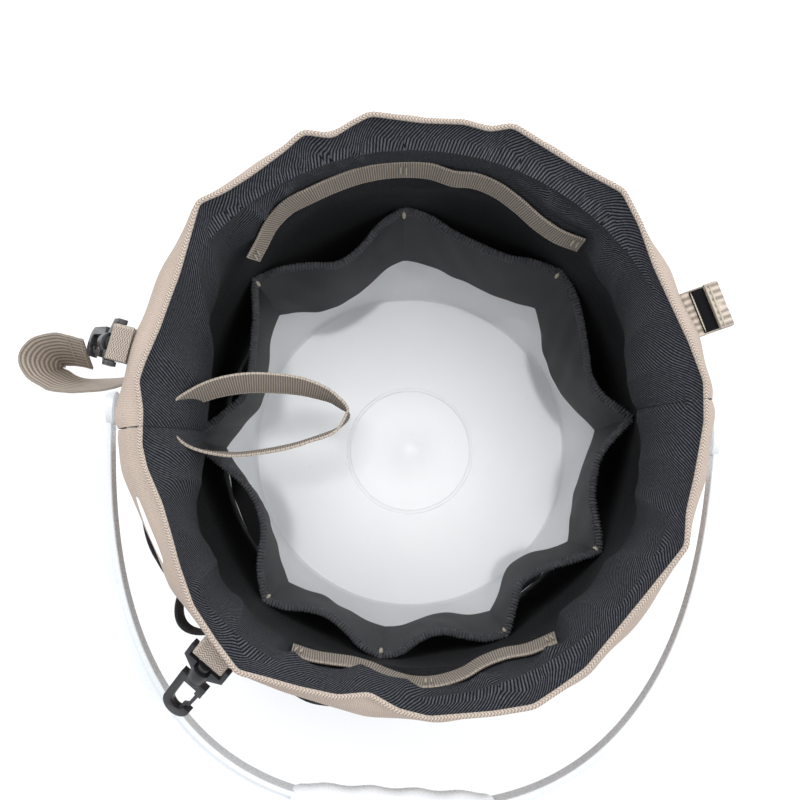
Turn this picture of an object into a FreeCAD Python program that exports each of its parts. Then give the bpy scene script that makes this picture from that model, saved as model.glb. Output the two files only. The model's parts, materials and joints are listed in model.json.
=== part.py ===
import FreeCAD, Part
import math
import os

from FreeCAD import Placement, Rotation, Vector

# Tool bucket organizer: a sewn organizer fitted over an open pail with a swinging bail.
# Millimetres. The origin is the centre of the pail's foot, +Z up, +Y the back, +X the right.
# Angles round the pail are in degrees from +X towards +Y.

# ---- pail ----
pail_height = 362.0
pail_top_radius = 149.5
pail_base_radius = 131.0
pail_wall = 2.2
floor_thickness = 2.6
foot_height = 4.0
bead_height = 9.0
bead_stand = 3.0
rib_stand = 3.0
rib_thickness = 2.4
rib_drops = (60.0, 76.0)
floor_ring_radius = 51.0
floor_ring_height = 0.6
floor_ring_width = 2.0

# ---- ears and bail ----
ear_drop = 40.0
ear_turn = -3.0
ear_radius = 11.0
ear_face = 161.0
ear_bore_radius = 4.6
ear_bore_depth = 9.0
pin_clearance = 0.08
bail_gap = 0.8
ear_root_depth = 0.6
bail_half_width = 170.5
bail_reach = 224.0
bail_squareness = 2.5
bail_droop = 10.0
strap_thickness = 3.2
strap_height = 11.0
flange_thickness = 2.4
flange_width = 7.0
eye_radius = 9.5
grip_length = 118.0
grip_width = 23.0
grip_height = 15.0
grip_finger_step = 26.0
grip_finger_depth = 2.2
grip_hollow_radius = 20.8
grip_rounding = 5.0

# ---- organizer ----
rim_height = 370.0
fabric = 1.4
layer_gap = 0.3
seam_gap = 0.3
seam_left = 182.0
seam_right = 3.5
collar_height = 36.0
skirt_radius = 155.0
skirt_length = 258.0
rim_radius = 151.5
slit_half_angle = 6.5
hem_height = 7.0
lining_depth = 238.0
braid_radius = 1.6
braid_gap = 0.1

# ---- inner pockets ----
inner_top_drop = 118.0
inner_band_height = 112.0
back_divisions = (seam_right, 47.0, 92.0, 136.0, seam_left)
front_divisions = (seam_left, 229.0, 262.0, 295.0, 327.5, seam_right + 360.0)
back_bulge_top = (24.0, 15.0, 26.0, 34.0)
back_bulge_bottom = (20.0, 11.0, 26.0, 22.0)
front_bulge_top = (33.0, 17.0, 17.0, 24.0, 22.0)
front_bulge_bottom = (15.0, 11.0, 12.0, 20.0, 14.0)
edge_height = 2.5
edge_thickness = 2.6
bartack_size = (2.0, 1.2, 8.0)
bartack_stand = 2.0
bartack_drop = 1.0

# ---- inner loop strips ----
webbing_thickness = 1.5
strip_width = 20.0
strip_drop = 46.0
strip_bow = 8.0
back_strip_stops = (133.0, 92.0, 48.0)
front_strip_stops = (304.0, 274.0, 242.0)

# ---- hanging webbing loop ----
loop_width = 22.0
loop_drop = 40.0
loop_length = 98.0
loop_spread = 40.0
loop_root_gap = 2.2

# ---- outer pockets ----
outer_pocket_top = 262.0
outer_pocket_height = 140.0
outer_pocket_count = 4
outer_pocket_bulge = 17.0
binding_height = 3.0
binding_thickness = 2.6
small_pocket_top = 205.0
small_pocket_height = 72.0
small_pocket_bulge = 8.0
small_pocket_share = 0.6
outer_pocket_margin = 4.0
elastic_loop_angle = 221.5
elastic_loop_drop = 34.0
elastic_loop_stand = 11.0

# ---- side straps ----
left_strap_width = 38.0
left_strap_angle = 168.0
left_strap_drop = 82.0
left_strap_root_gap = 4.0
right_strap_width = 25.0
right_strap_angle = 20.5
right_strap_drop = 17.0

# ---- snap hooks ----
hook_tilt_front = 38.0
hook_tilt_left = 60.0
front_hook_angle = 230.0
left_hook_angle = 165.5
hook_drop = 14.0
tab_reach = 8.5
tab_width = 19.0
bar_half_length = 13.0
bar_depth = 3.4
bar_thickness = 2.8
base_thickness = 5.0
barrel_radius = 5.6
stem_radius = 2.6
hook_length = 52.0
hook_half_width = 8.6
hook_rim = 4.4
hook_thickness = 5.0
gate_thickness = 2.4
gate_pin_radius = 1.2

Z_AXIS = Vector(0, 0, 1)
ORIGIN = Vector(0, 0, 0)


def polar(radius, angle, z=0.0):
    turn = math.radians(angle)
    return Vector(radius * math.cos(turn), radius * math.sin(turn), z)


def pail_outer(z):
    return pail_base_radius + (pail_top_radius - pail_base_radius) * z / pail_height


def pail_inner(z):
    return pail_outer(z) - pail_wall


def lining_inner(z):
    return pail_inner(z) - layer_gap - fabric


def face_of(points):
    return Part.Face(Part.makePolygon(list(points) + [points[0]]))


def profile_face(points):
    """A face in the XZ plane from (radius, z) points."""
    return face_of([Vector(radius, 0, z) for radius, z in points])


def sweep_round(face, start, end):
    """Turn an XZ face about Z from one angle to the other."""
    placed = face.copy()
    placed.rotate(ORIGIN, Z_AXIS, start)
    return placed.revolve(ORIGIN, Z_AXIS, end - start)


def sheet_profile(path, thickness):
    """A sheet's section: the inner line, and the same line moved out by its thickness."""
    outer = [(radius + thickness, z) for radius, z in reversed(path)]
    return profile_face(list(path) + outer)


def gap_angle(gap, radius):
    return math.degrees(gap / radius)


def frustum(low_radius, high_radius, z0, z1):
    return Part.makeCone(low_radius, high_radius, z1 - z0, Vector(0, 0, z0), Z_AXIS)


def joined(shapes):
    result = shapes[0]
    if len(shapes) > 1:
        result = shapes[0].multiFuse(shapes[1:])
    return result.removeSplitter()


# ---------------------------------------------------------------- pail

ear_height = pail_height - ear_drop


def make_pail():
    shell = frustum(pail_outer(0), pail_outer(pail_height), 0, pail_height)
    bead_low = pail_height - bead_height
    bead = Part.makeCylinder(pail_top_radius + bead_stand, bead_height, Vector(0, 0, bead_low))
    extras = [bead]
    for drop in rib_drops:
        low = pail_height - drop
        radius = pail_outer(low) + rib_stand
        extras.append(Part.makeCylinder(radius, rib_thickness, Vector(0, 0, low)))
    for side in (0.0, 180.0):
        start = polar(pail_outer(ear_height) - ear_root_depth, ear_turn + side, ear_height)
        end = polar(ear_face, ear_turn + side, ear_height)
        extras.append(Part.makeCylinder(ear_radius, (end - start).Length, start, end - start))
    solid = shell.multiFuse(extras)
    floor_top = foot_height + floor_thickness
    inside = frustum(pail_inner(floor_top), pail_inner(pail_height), floor_top, pail_height + 0.001)
    foot_radius = pail_base_radius - 2 * pail_wall
    under = Part.makeCylinder(foot_radius, foot_height)
    solid = solid.cut(inside).cut(under)
    for side in (0.0, 180.0):
        outer_end = polar(ear_face, ear_turn + side, ear_height)
        inward = polar(-1.0, ear_turn + side)
        solid = solid.cut(Part.makeCylinder(ear_bore_radius, ear_bore_depth, outer_end, inward))
    ring = Part.makeCylinder(floor_ring_radius, floor_ring_height, Vector(0, 0, floor_top))
    hole_radius = floor_ring_radius - floor_ring_width
    hole = Part.makeCylinder(hole_radius, floor_ring_height, Vector(0, 0, floor_top))
    ring = ring.cut(hole)
    return solid.fuse(ring).removeSplitter()


# ---------------------------------------------------------------- bail

def bail_point(share, offset):
    """A point of the bail's curve in its own plane, moved out by an offset."""
    turn = math.pi * share
    power = 2.0 / bail_squareness
    cosine = math.cos(turn)
    sine = math.sin(turn)
    x = math.copysign(abs(cosine) ** power, cosine) * bail_half_width
    reach = abs(sine) ** power * bail_reach
    slope_x = math.copysign(abs(x / bail_half_width) ** (bail_squareness - 1), x) / bail_half_width
    slope_y = (reach / bail_reach) ** (bail_squareness - 1) / bail_reach
    size = math.hypot(slope_x, slope_y)
    return Vector(x + offset * slope_x / size, -reach - offset * slope_y / size, 0)


def bail_band(inner, outer, height):
    """A flat band between two offsets of the bail's curve, as high as asked, about the plane."""
    steps = 32
    shares = [step / steps for step in range(steps + 1)]
    inside = Part.BSplineCurve()
    inside.interpolate([bail_point(share, inner) for share in shares])
    outside = Part.BSplineCurve()
    outside.interpolate([bail_point(share, outer) for share in shares])
    edges = [
        inside.toShape(),
        Part.makeLine(bail_point(1.0, inner), bail_point(1.0, outer)),
        outside.toShape(),
        Part.makeLine(bail_point(0.0, outer), bail_point(0.0, inner)),
    ]
    face = Part.Face(Part.Wire(Part.__sortEdges__(edges)))
    face.translate(Vector(0, 0, -height / 2))
    return face.extrude(Vector(0, 0, height))


def make_bail():
    half = strap_thickness / 2
    parts = [bail_band(-half, half, strap_height)]
    parts.append(bail_band(-half, flange_width - half, flange_thickness))
    for side in (-1, 1):
        eye_inner = Vector(side * (bail_half_width - half), 0, 0)
        outward = Vector(side, 0, 0)
        parts.append(Part.makeCylinder(eye_radius, strap_thickness, eye_inner, outward))
        tip = ear_face - ear_bore_depth + bail_gap
        pin_length = bail_half_width - half - tip
        pin_radius = ear_bore_radius - pin_clearance
        pin_start = eye_inner + outward * half
        parts.append(Part.makeCylinder(pin_radius, pin_length + half, pin_start, outward * -1))
    grip = Part.makeBox(grip_length, grip_width, grip_height)
    grip.translate(Vector(-grip_length / 2, -bail_reach - grip_width / 2, -grip_height / 2))
    grip = grip.makeFillet(grip_rounding, grip.Edges)
    parts.append(grip)
    bail = joined(parts)
    for step in (-1.5, -0.5, 0.5, 1.5):
        hollow_radius = grip_hollow_radius
        centre_y = -bail_reach - grip_width / 2 - hollow_radius + grip_finger_depth
        centre = Vector(step * grip_finger_step, centre_y, -grip_height)
        bail = bail.cut(Part.makeCylinder(hollow_radius, 2 * grip_height, centre))
    bail.rotate(ORIGIN, Vector(1, 0, 0), bail_droop)
    bail.rotate(ORIGIN, Z_AXIS, ear_turn)
    bail.translate(Vector(0, 0, ear_height))
    return bail


# ---------------------------------------------------------------- skirt, lining and rim

collar_low = rim_height - collar_height
skirt_low = rim_height - skirt_length
ear_left = 180.0 + ear_turn
ear_right = 360.0 + ear_turn


def half_span(front, radius):
    """The angles that one half of the organizer covers at the seams."""
    gap = gap_angle(seam_gap, radius) / 2
    if front:
        return seam_left + gap, seam_right + 360.0 - gap
    return seam_right + gap, seam_left - gap


def skirt_span(front):
    """The angles that one half covers below the collar, clear of the slits at the ears."""
    if front:
        return ear_left + slit_half_angle, ear_right - slit_half_angle
    return seam_right + gap_angle(seam_gap, skirt_radius), ear_left - slit_half_angle


def make_skirt(front):
    bead_radius = pail_top_radius + bead_stand + layer_gap
    collar = [(rim_radius, rim_height), (bead_radius, pail_height), (skirt_radius, collar_low)]
    start, end = half_span(front, skirt_radius)
    upper = sweep_round(sheet_profile(collar, fabric), start, end)
    fall = [(skirt_radius, collar_low), (skirt_radius, skirt_low)]
    start, end = skirt_span(front)
    lower = sweep_round(sheet_profile(fall, fabric), start, end)
    return joined([upper, lower])


def make_hem(front):
    """Binding tape folded round the skirt's lower edge."""
    outer = skirt_radius + fabric + layer_gap
    face = [
        (outer, skirt_low - layer_gap),
        (outer, skirt_low + hem_height),
        (outer + fabric, skirt_low + hem_height),
        (outer + fabric, skirt_low - layer_gap - fabric),
        (skirt_radius - fabric, skirt_low - layer_gap - fabric),
        (skirt_radius - fabric, skirt_low - layer_gap),
    ]
    start, end = skirt_span(front)
    return sweep_round(profile_face(face), start, end)


def make_lining(front):
    top_radius = rim_radius - layer_gap - fabric
    neck = pail_height + layer_gap + fabric
    low = rim_height - lining_depth
    lip = lining_inner(pail_height)
    path = [(top_radius, rim_height), (lip, neck), (lining_inner(low), low)]
    start, end = half_span(front, lip)
    return sweep_round(sheet_profile(path, fabric), start, end)


def make_braid(front):
    """The braided edge that lies along the rim, where the lining meets the skirt."""
    centre_z = rim_height + braid_radius + braid_gap
    circle = Part.makeCircle(braid_radius, Vector(rim_radius, 0, centre_z), Vector(0, 1, 0))
    face = Part.Face(Part.Wire([circle]))
    start, end = half_span(front, rim_radius)
    return sweep_round(face, start, end)


# ---------------------------------------------------------------- pockets

def crescent_outline(radius_ends, radius_middle, thickness, start, end, z):
    """A crescent's outline in plan: an arc between two angles, and the same arc a thickness further out."""
    middle = (start + end) / 2
    first = polar(radius_ends, start, z)
    crown = polar(radius_middle, middle, z)
    last = polar(radius_ends, end, z)
    first_in = polar(radius_ends + thickness, start, z)
    crown_in = polar(radius_middle + thickness, middle, z)
    last_in = polar(radius_ends + thickness, end, z)
    edges = [
        Part.Arc(first, crown, last).toShape(),
        Part.makeLine(last, last_in),
        Part.Arc(last_in, crown_in, first_in).toShape(),
        Part.makeLine(first_in, first),
    ]
    return Part.Wire(edges)


def pouch_wall(radii_low, radii_high, thickness, start, end, z0, z1):
    low = crescent_outline(radii_low[0], radii_low[1], thickness, start, end, z0)
    high = crescent_outline(radii_high[0], radii_high[1], thickness, start, end, z1)
    return Part.makeLoft([low, high], True, True)


def pouch_floor(radius_ends, radius_middle, thickness, start, end, z):
    """The flat bottom of a pouch: it ends halfway through the pouch's wall."""
    middle = (start + end) / 2
    front = radius_ends + thickness / 2
    back = radius_ends + thickness * 0.8
    edges = [
        Part.Arc(polar(front, start, z), polar(radius_middle + thickness / 2, middle, z),
                 polar(front, end, z)).toShape(),
        Part.makeLine(polar(front, end, z), polar(back, end, z)),
        Part.Arc(polar(back, end, z), polar(back, middle, z), polar(back, start, z)).toShape(),
        Part.makeLine(polar(back, start, z), polar(front, start, z)),
    ]
    return Part.Face(Part.Wire(edges)).extrude(Vector(0, 0, thickness))


def inner_band_settings(front):
    if front:
        return front_divisions, front_bulge_top, front_bulge_bottom
    return back_divisions, back_bulge_top, back_bulge_bottom


inner_top = rim_height - inner_top_drop
inner_bottom = inner_top - inner_band_height


def inner_radius(z, bulge):
    return lining_inner(z) - layer_gap - fabric - bulge


def make_inner_band(front):
    divisions, tops, bottoms = inner_band_settings(front)
    gap = gap_angle(seam_gap, lining_inner(inner_top))
    walls = []
    last = len(tops) - 1
    for index, (top, bottom) in enumerate(zip(tops, bottoms)):
        start = divisions[index] + (gap if index == 0 else 0)
        end = divisions[index + 1] - (gap if index == last else 0)
        low = (inner_radius(inner_bottom, 0), inner_radius(inner_bottom, bottom))
        high = (inner_radius(inner_top, 0), inner_radius(inner_top, top))
        walls.append(pouch_wall(low, high, fabric, start, end, inner_bottom, inner_top))
        walls.append(pouch_floor(low[0], low[1], fabric, start, end, inner_bottom + seam_gap))
    return joined(walls)


def make_inner_edge(front):
    """Overlock thread wrapped over the pockets' top edge."""
    divisions, tops, bottoms = inner_band_settings(front)
    gap = gap_angle(seam_gap, lining_inner(inner_top))
    z0 = inner_top + layer_gap / 3
    z1 = z0 + edge_height
    walls = []
    last = len(tops) - 1
    for index, top in enumerate(tops):
        start = divisions[index] + (gap if index == 0 else 0)
        end = divisions[index + 1] - (gap if index == last else 0)
        shift = (edge_thickness - fabric) / 2
        ends = inner_radius(inner_top, 0) - shift - 0.4
        crown = inner_radius(inner_top, top) - shift
        walls.append(pouch_wall((ends, crown), (ends, crown), edge_thickness, start, end, z0, z1))
    return joined(walls)


def make_bartacks():
    """Dense stitches that lock the top of each dividing seam."""
    depth, width, height = bartack_size
    tacks = []
    for angle in back_divisions[1:-1] + front_divisions[1:-1]:
        tack = Part.makeBox(depth, width, height)
        out = inner_radius(inner_top, 0) - depth - bartack_stand
        tack.translate(Vector(out, -width / 2, inner_top - height - bartack_drop))
        tack.rotate(ORIGIN, Z_AXIS, angle)
        tacks.append(tack)
    return Part.makeCompound(tacks)


def make_loop_strip(stops):
    """Webbing sewn to the lining at its ends and middle, bowed in between to make two loops."""
    z0 = rim_height - strip_drop - strip_width / 2
    z1 = z0 + strip_width
    pieces = []
    for start, end in zip(stops[:-1], stops[1:]):
        low = lining_inner(z0) - layer_gap - webbing_thickness
        radii = (low, low - strip_bow)
        pieces.append(pouch_wall(radii, radii, webbing_thickness, end, start, z0, z1))
    return joined(pieces)


def outer_divisions(front):
    start, end = skirt_span(front)
    margin = gap_angle(outer_pocket_margin, skirt_radius)
    step = (end - start - 2 * margin) / outer_pocket_count
    return [start + margin + step * index for index in range(outer_pocket_count + 1)]


outer_bottom = outer_pocket_top - outer_pocket_height


def make_outer_strip(front):
    """One long strip of fabric pleated into the row of outer pockets."""
    divisions = outer_divisions(front)
    ends = skirt_radius + fabric + layer_gap
    crown = ends + outer_pocket_bulge
    walls = []
    for start, end in zip(divisions[:-1], divisions[1:]):
        radii = (ends, crown)
        walls.append(pouch_wall(radii, radii, fabric, start, end, outer_bottom, outer_pocket_top))
        walls.append(pouch_floor(ends, crown, fabric, start, end, outer_bottom + seam_gap))
    return joined(walls)


def make_outer_binding(front):
    """Tape folded over the outer pockets' top edge."""
    divisions = outer_divisions(front)
    ends = skirt_radius + fabric + layer_gap
    crown = ends + outer_pocket_bulge
    shift = (binding_thickness - fabric) / 2
    z0 = outer_pocket_top + layer_gap / 3
    z1 = z0 + binding_height
    walls = []
    for start, end in zip(divisions[:-1], divisions[1:]):
        radii = (ends, crown - shift)
        walls.append(pouch_wall(radii, radii, binding_thickness, start, end, z0, z1))
    return joined(walls)


def small_pocket(front, index):
    """A small flat pocket sewn on the face of one large outer pocket."""
    divisions = outer_divisions(front)
    start = divisions[index]
    end = divisions[index + 1]
    middle = (start + end) / 2
    ends = skirt_radius + fabric + layer_gap
    base = Part.Arc(polar(ends, start), polar(ends + outer_pocket_bulge, middle), polar(ends, end))
    centre = base.toShape().Curve.Center
    arc_radius = base.toShape().Curve.Radius + fabric + layer_gap
    reach = (polar(ends + outer_pocket_bulge, middle) - centre).normalize()
    half = math.degrees(math.asin((polar(ends, start) - polar(ends, end)).Length / 2 / arc_radius))
    half = half * small_pocket_share

    def spot(angle, extra):
        turned = Rotation(Z_AXIS, angle).multVec(reach)
        return centre + turned * (arc_radius + extra)

    edges = [
        Part.Arc(spot(-half, 0), spot(0, small_pocket_bulge), spot(half, 0)).toShape(),
        Part.makeLine(spot(half, 0), spot(half, fabric)),
        Part.Arc(spot(half, fabric), spot(0, small_pocket_bulge + fabric), spot(-half, fabric)).toShape(),
        Part.makeLine(spot(-half, fabric), spot(-half, 0)),
    ]
    low = small_pocket_top - small_pocket_height
    wall = Part.Face(Part.Wire(edges)).extrude(Vector(0, 0, small_pocket_height))
    bottom_edges = [
        Part.Arc(spot(-half, 0), spot(0, small_pocket_bulge + fabric / 2), spot(half, 0)).toShape(),
        Part.Arc(spot(half, 0), spot(0, 0), spot(-half, 0)).toShape(),
    ]
    bottom = Part.Face(Part.Wire(bottom_edges)).extrude(Vector(0, 0, fabric))
    pocket = joined([wall, bottom])
    pocket.translate(Vector(0, 0, low))
    return pocket


# ---------------------------------------------------------------- webbing pieces

def ribbon(centres, widths, width, thickness):
    """Webbing through the given centres, its width laid along the given directions."""
    wires = []
    last = len(centres) - 1
    for index, centre in enumerate(centres):
        before = centres[max(index - 1, 0)]
        after = centres[min(index + 1, last)]
        along = (after - before).normalize()
        across = widths[index] - along * widths[index].dot(along)
        across = across.normalize() * (width / 2)
        normal = along.cross(across).normalize() * (thickness / 2)
        corners = [centre + across + normal, centre - across + normal, centre - across - normal,
                   centre + across - normal]
        wires.append(Part.makePolygon(corners + [corners[0]]))
    return Part.makeLoft(wires, True, True)


def make_hanging_loop():
    """A webbing loop that stands out into the pail from the left seam."""
    base_z = rim_height - loop_drop
    wall = lining_inner(base_z) - loop_root_gap
    middle = wall - loop_length / 2
    steps = 20
    centres = []
    widths = []
    for step in range(steps + 1):
        turn = math.radians(8.0 + 344.0 * step / steps)
        x = -middle - loop_length / 2 * math.cos(turn)
        y = loop_spread / 2 * math.sin(turn) * (1.0 + 0.25 * math.cos(turn))
        centres.append(Vector(x, y, base_z))
        lean = 0.9 * max(0.0, math.sin(turn))
        widths.append(Vector(0, lean, 1))
    loop = ribbon(centres, widths, loop_width, webbing_thickness)
    loop.rotate(ORIGIN, Z_AXIS, seam_left - 180.0)
    return loop


def make_left_strap():
    """Wide webbing that leaves the skirt, folds over and ends in a sewn hem."""
    root = polar(skirt_radius + fabric + left_strap_root_gap, left_strap_angle)
    offsets = [(0, 0, 0), (-9, -4, 0), (-20, -7, 0), (-32, -8, 0), (-44, -8, 1), (-54, -5, 2), (-61, 0, 3),
               (-63, 6, 3), (-60, 11, 3), (-52, 13, 3), (-44, 12, 3), (-36, 10, 3)]
    start_z = rim_height - left_strap_drop
    centres = [root + Vector(x, y, start_z + z) for x, y, z in offsets]
    widths = [Vector(-0.1, -0.3, 1)] * 5
    widths += [Vector(-0.35, -0.25, 1), Vector(-0.5, 0.0, 1), Vector(-0.5, 0.1, 1), Vector(-0.35, 0.25, 1)]
    widths += [Vector(-0.1, 0.4, 1)] * 3
    return ribbon(centres, widths, left_strap_width, webbing_thickness)


def strap_frame(angle, drop):
    """A place on the collar's outer face: +X out of the skirt, +Y round the rim, +Z up."""
    at = polar(skirt_radius + fabric + layer_gap, angle, rim_height - drop)
    return Placement(at, Rotation(Z_AXIS, angle))


def bent_sheet(points, thickness, width):
    """A sheet bent about the rim's tangent, from its (out, up) centre line."""
    line = [Vector(out, 0, up) for out, up in points]
    sides = []
    for index, spot in enumerate(line):
        before = line[max(index - 1, 0)]
        after = line[min(index + 1, len(line) - 1)]
        along = (after - before).normalize()
        sides.append((spot, along.cross(Vector(0, 1, 0)) * (thickness / 2)))
    outline = [spot + side for spot, side in sides] + [spot - side for spot, side in reversed(sides)]
    face = face_of(outline)
    face.translate(Vector(0, -width / 2, 0))
    return face.extrude(Vector(0, width, 0))


right_strap_line = [(1.8, 0.0), (4.0, 1.2), (10.0, 1.0), (16.0, -1.0), (21.0, -3.5)]


def make_right_strap():
    """Short webbing strap that stands out of the collar, its free end folded back."""
    out, up = right_strap_line[-1]
    fold = right_strap_line + [(out + 2.6, up - 1.2), (out + 3.8, up + 1.6), (out + 2.2, up + 4.4),
                               (out - 3.0, up + 6.2), (out - 8.0, up + 8.0)]
    strap = bent_sheet(fold, webbing_thickness, right_strap_width)
    strap.Placement = strap_frame(right_strap_angle, right_strap_drop)
    return strap


def make_right_pile():
    """The soft half of the hook-and-loop fastening, sewn on the strap."""
    lift = webbing_thickness + 0.15
    line = [(out, up + lift) for out, up in right_strap_line[1:4]]
    pile = bent_sheet(line, webbing_thickness, right_strap_width - 2.0)
    pile.Placement = strap_frame(right_strap_angle, right_strap_drop)
    return pile


def make_elastic_loop():
    """A short elastic loop on the skirt, for a pencil or a small tool."""
    z1 = rim_height - elastic_loop_drop
    ends = skirt_radius + fabric + layer_gap
    half = gap_angle(elastic_loop_stand + 3.0, ends)
    radii = (ends, ends + elastic_loop_stand)
    return pouch_wall(radii, radii, webbing_thickness, elastic_loop_angle - half, elastic_loop_angle + half,
                      z1 - strip_width, z1)


# ---------------------------------------------------------------- snap hooks
# A hook's own frame: its bar lies along Y at the origin, and it hangs along +X.

def hook_place(angle, tilt):
    at = polar(skirt_radius + fabric + layer_gap + tab_reach, angle, rim_height - hook_drop)
    return Placement(at, Rotation(Z_AXIS, angle) * Rotation(Vector(0, 1, 0), tilt))


def plate(points, thickness):
    face = face_of([Vector(x, y, -thickness / 2) for x, y in points])
    return face.extrude(Vector(0, 0, thickness))


slot_end = 6.2
window_end = 10.2
barrel_end = 18.0


def make_hook_base():
    """A frame whose bar the tab wraps, with the barrel that the hook turns in."""
    half = bar_half_length
    back = bar_depth / 2
    outline = [(-back, -half), (slot_end + 1.6, -half), (window_end + 3.0, -barrel_radius),
               (window_end + 3.0, barrel_radius), (slot_end + 1.6, half), (-back, half)]
    body = plate(outline, base_thickness)
    barrel = Part.makeCylinder(barrel_radius, barrel_end - window_end + 1.4, Vector(window_end - 1.4, 0, 0),
                               Vector(1, 0, 0))
    body = body.fuse(barrel)
    slot = Part.makeBox(slot_end - back, 2 * half - 5.0, 2 * base_thickness)
    slot.translate(Vector(back, -half + 2.5, -base_thickness))
    window = Part.makeBox(window_end - slot_end + 0.2, 2 * stem_radius + 4.4, 4 * base_thickness)
    window.translate(Vector(slot_end - 0.2, -stem_radius - 2.2, -2 * base_thickness))
    bore = Part.makeCylinder(stem_radius + pin_clearance, 30.0, Vector(slot_end, 0, 0), Vector(1, 0, 0))
    body = body.cut(slot).cut(window).cut(bore)
    for side in (-1, 1):
        shave = Part.makeBox(bar_depth + 1.0, 2 * half - 5.0, base_thickness)
        low = bar_thickness / 2 if side > 0 else -bar_thickness / 2 - base_thickness
        shave.translate(Vector(-back - 1.0, -half + 2.5, low))
        body = body.cut(shave)
    return body.removeSplitter()


neck_start = barrel_end + 0.4
ring_start = neck_start + 1.6
gate_pivot = Vector(ring_start + 5.2, hook_half_width - hook_rim / 2, 0)
nose_start = hook_length - 9.5


def stadium(x0, x1, half):
    """A plate outline with one round end, towards +X."""
    shoulder = Vector(x1 - half, half, 0)
    edges = [
        Part.makeLine(Vector(x0, -half, 0), Vector(x0, half, 0)),
        Part.makeLine(Vector(x0, half, 0), shoulder),
        Part.Arc(shoulder, Vector(x1, 0, 0), Vector(x1 - half, -half, 0)).toShape(),
        Part.makeLine(Vector(x1 - half, -half, 0), Vector(x0, -half, 0)),
    ]
    return Part.Face(Part.Wire(edges))


def make_hook():
    """The hook: its stem and head turn in the barrel, and its mouth is closed by the gate."""
    x_axis = Vector(1, 0, 0)
    head_start = slot_end + 0.5
    head_at = Vector(head_start, 0, 0)
    neck_at = Vector(neck_start, 0, 0)
    head = Part.makeCylinder(stem_radius + 1.2, window_end - 0.4 - head_start, head_at, x_axis)
    stem = Part.makeCylinder(stem_radius, neck_start - head_start, head_at, x_axis)
    neck = Part.makeCylinder(barrel_radius - 0.4, ring_start - neck_start + 1.0, neck_at, x_axis)
    outer = stadium(ring_start, hook_length, hook_half_width)
    inner = stadium(ring_start + 5.0, hook_length - hook_rim - 1.2, hook_half_width - hook_rim)
    body = outer.cut(inner)
    body.translate(Vector(0, 0, -hook_thickness / 2))
    body = body.extrude(Vector(0, 0, hook_thickness))
    mouth_start = gate_pivot.x + 2.6
    mouth = Part.makeBox(nose_start - mouth_start, hook_rim + 1.0, 2 * hook_thickness)
    mouth.translate(Vector(mouth_start, hook_half_width - hook_rim - 0.01, -hook_thickness))
    fork_half = gate_thickness / 2 + 0.3
    fork = Part.makeBox(6.4, hook_rim + 3.4, 2 * fork_half)
    fork.translate(Vector(gate_pivot.x - 3.4, hook_half_width - hook_rim - 2.4, -fork_half))
    body = body.cut(mouth).cut(fork)
    pin = Part.makeCylinder(gate_pin_radius, hook_thickness, gate_pivot - Z_AXIS * (hook_thickness / 2))
    return joined([head, stem, neck, body, pin])


def make_gate():
    """The sprung gate: it closes the mouth from inside the nose and swings in."""
    boss = Part.makeCylinder(2.1, gate_thickness, gate_pivot - Z_AXIS * (gate_thickness / 2))
    low = gate_pivot.y - 1.2
    inside = hook_half_width - hook_rim - 0.4
    lever = face_of([
        Vector(gate_pivot.x, low, 0),
        Vector(gate_pivot.x, low + 2.4, 0),
        Vector(nose_start - 3.2, low + 1.4, 0),
        Vector(nose_start - 0.8, inside, 0),
        Vector(nose_start + 1.1, inside, 0),
        Vector(nose_start + 1.1, inside - 1.4, 0),
        Vector(nose_start - 1.6, inside - 1.4, 0),
        Vector(nose_start - 4.0, low - 0.4, 0),
    ])
    lever.translate(Vector(0, 0, -gate_thickness / 2))
    lever = lever.extrude(Vector(0, 0, gate_thickness))
    hole = Part.makeCylinder(gate_pin_radius + pin_clearance, 10.0, gate_pivot - Z_AXIS * 5.0)
    return boss.fuse(lever).cut(hole).removeSplitter()


def make_tab(angle):
    """Webbing folded round the hook's bar, its two ends sewn into the collar."""
    bar_x = skirt_radius + fabric + layer_gap + tab_reach
    root = skirt_radius + fabric + layer_gap
    inner_r = math.hypot(bar_depth, bar_thickness) / 2 + layer_gap
    outer_r = inner_r + webbing_thickness
    z = rim_height - hook_drop

    def loop(radius):
        edges = [
            Part.makeLine(Vector(root, 0, z + radius), Vector(bar_x, 0, z + radius)),
            Part.Arc(Vector(bar_x, 0, z + radius), Vector(bar_x + radius, 0, z),
                     Vector(bar_x, 0, z - radius)).toShape(),
            Part.makeLine(Vector(bar_x, 0, z - radius), Vector(root, 0, z - radius)),
            Part.makeLine(Vector(root, 0, z - radius), Vector(root, 0, z + radius)),
        ]
        return Part.Face(Part.Wire(edges))

    band = loop(outer_r)
    hollow = loop(inner_r)
    hollow.translate(Vector(-0.001, 0, 0))
    body = band.cut(hollow)
    body.translate(Vector(0, -tab_width / 2, 0))
    body = body.extrude(Vector(0, tab_width, 0))
    back = Part.makeBox(webbing_thickness, tab_width, 2 * outer_r)
    back.translate(Vector(root, -tab_width / 2, z - outer_r))
    tab = body.fuse(back).removeSplitter()
    tab.rotate(ORIGIN, Z_AXIS, angle)
    return tab


def placed(shape, place):
    moved = shape.copy()
    moved.Placement = place
    return moved


def add_hook(nodes, name, angle, tilt):
    place = hook_place(angle, tilt)
    nodes[name + "_tab"] = make_tab(angle)
    nodes[name + "_swivel_base"] = placed(make_hook_base(), place)
    nodes[name + "_body"] = placed(make_hook(), place)
    nodes[name + "_gate"] = placed(make_gate(), place)


# ---------------------------------------------------------------- the whole object

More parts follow.
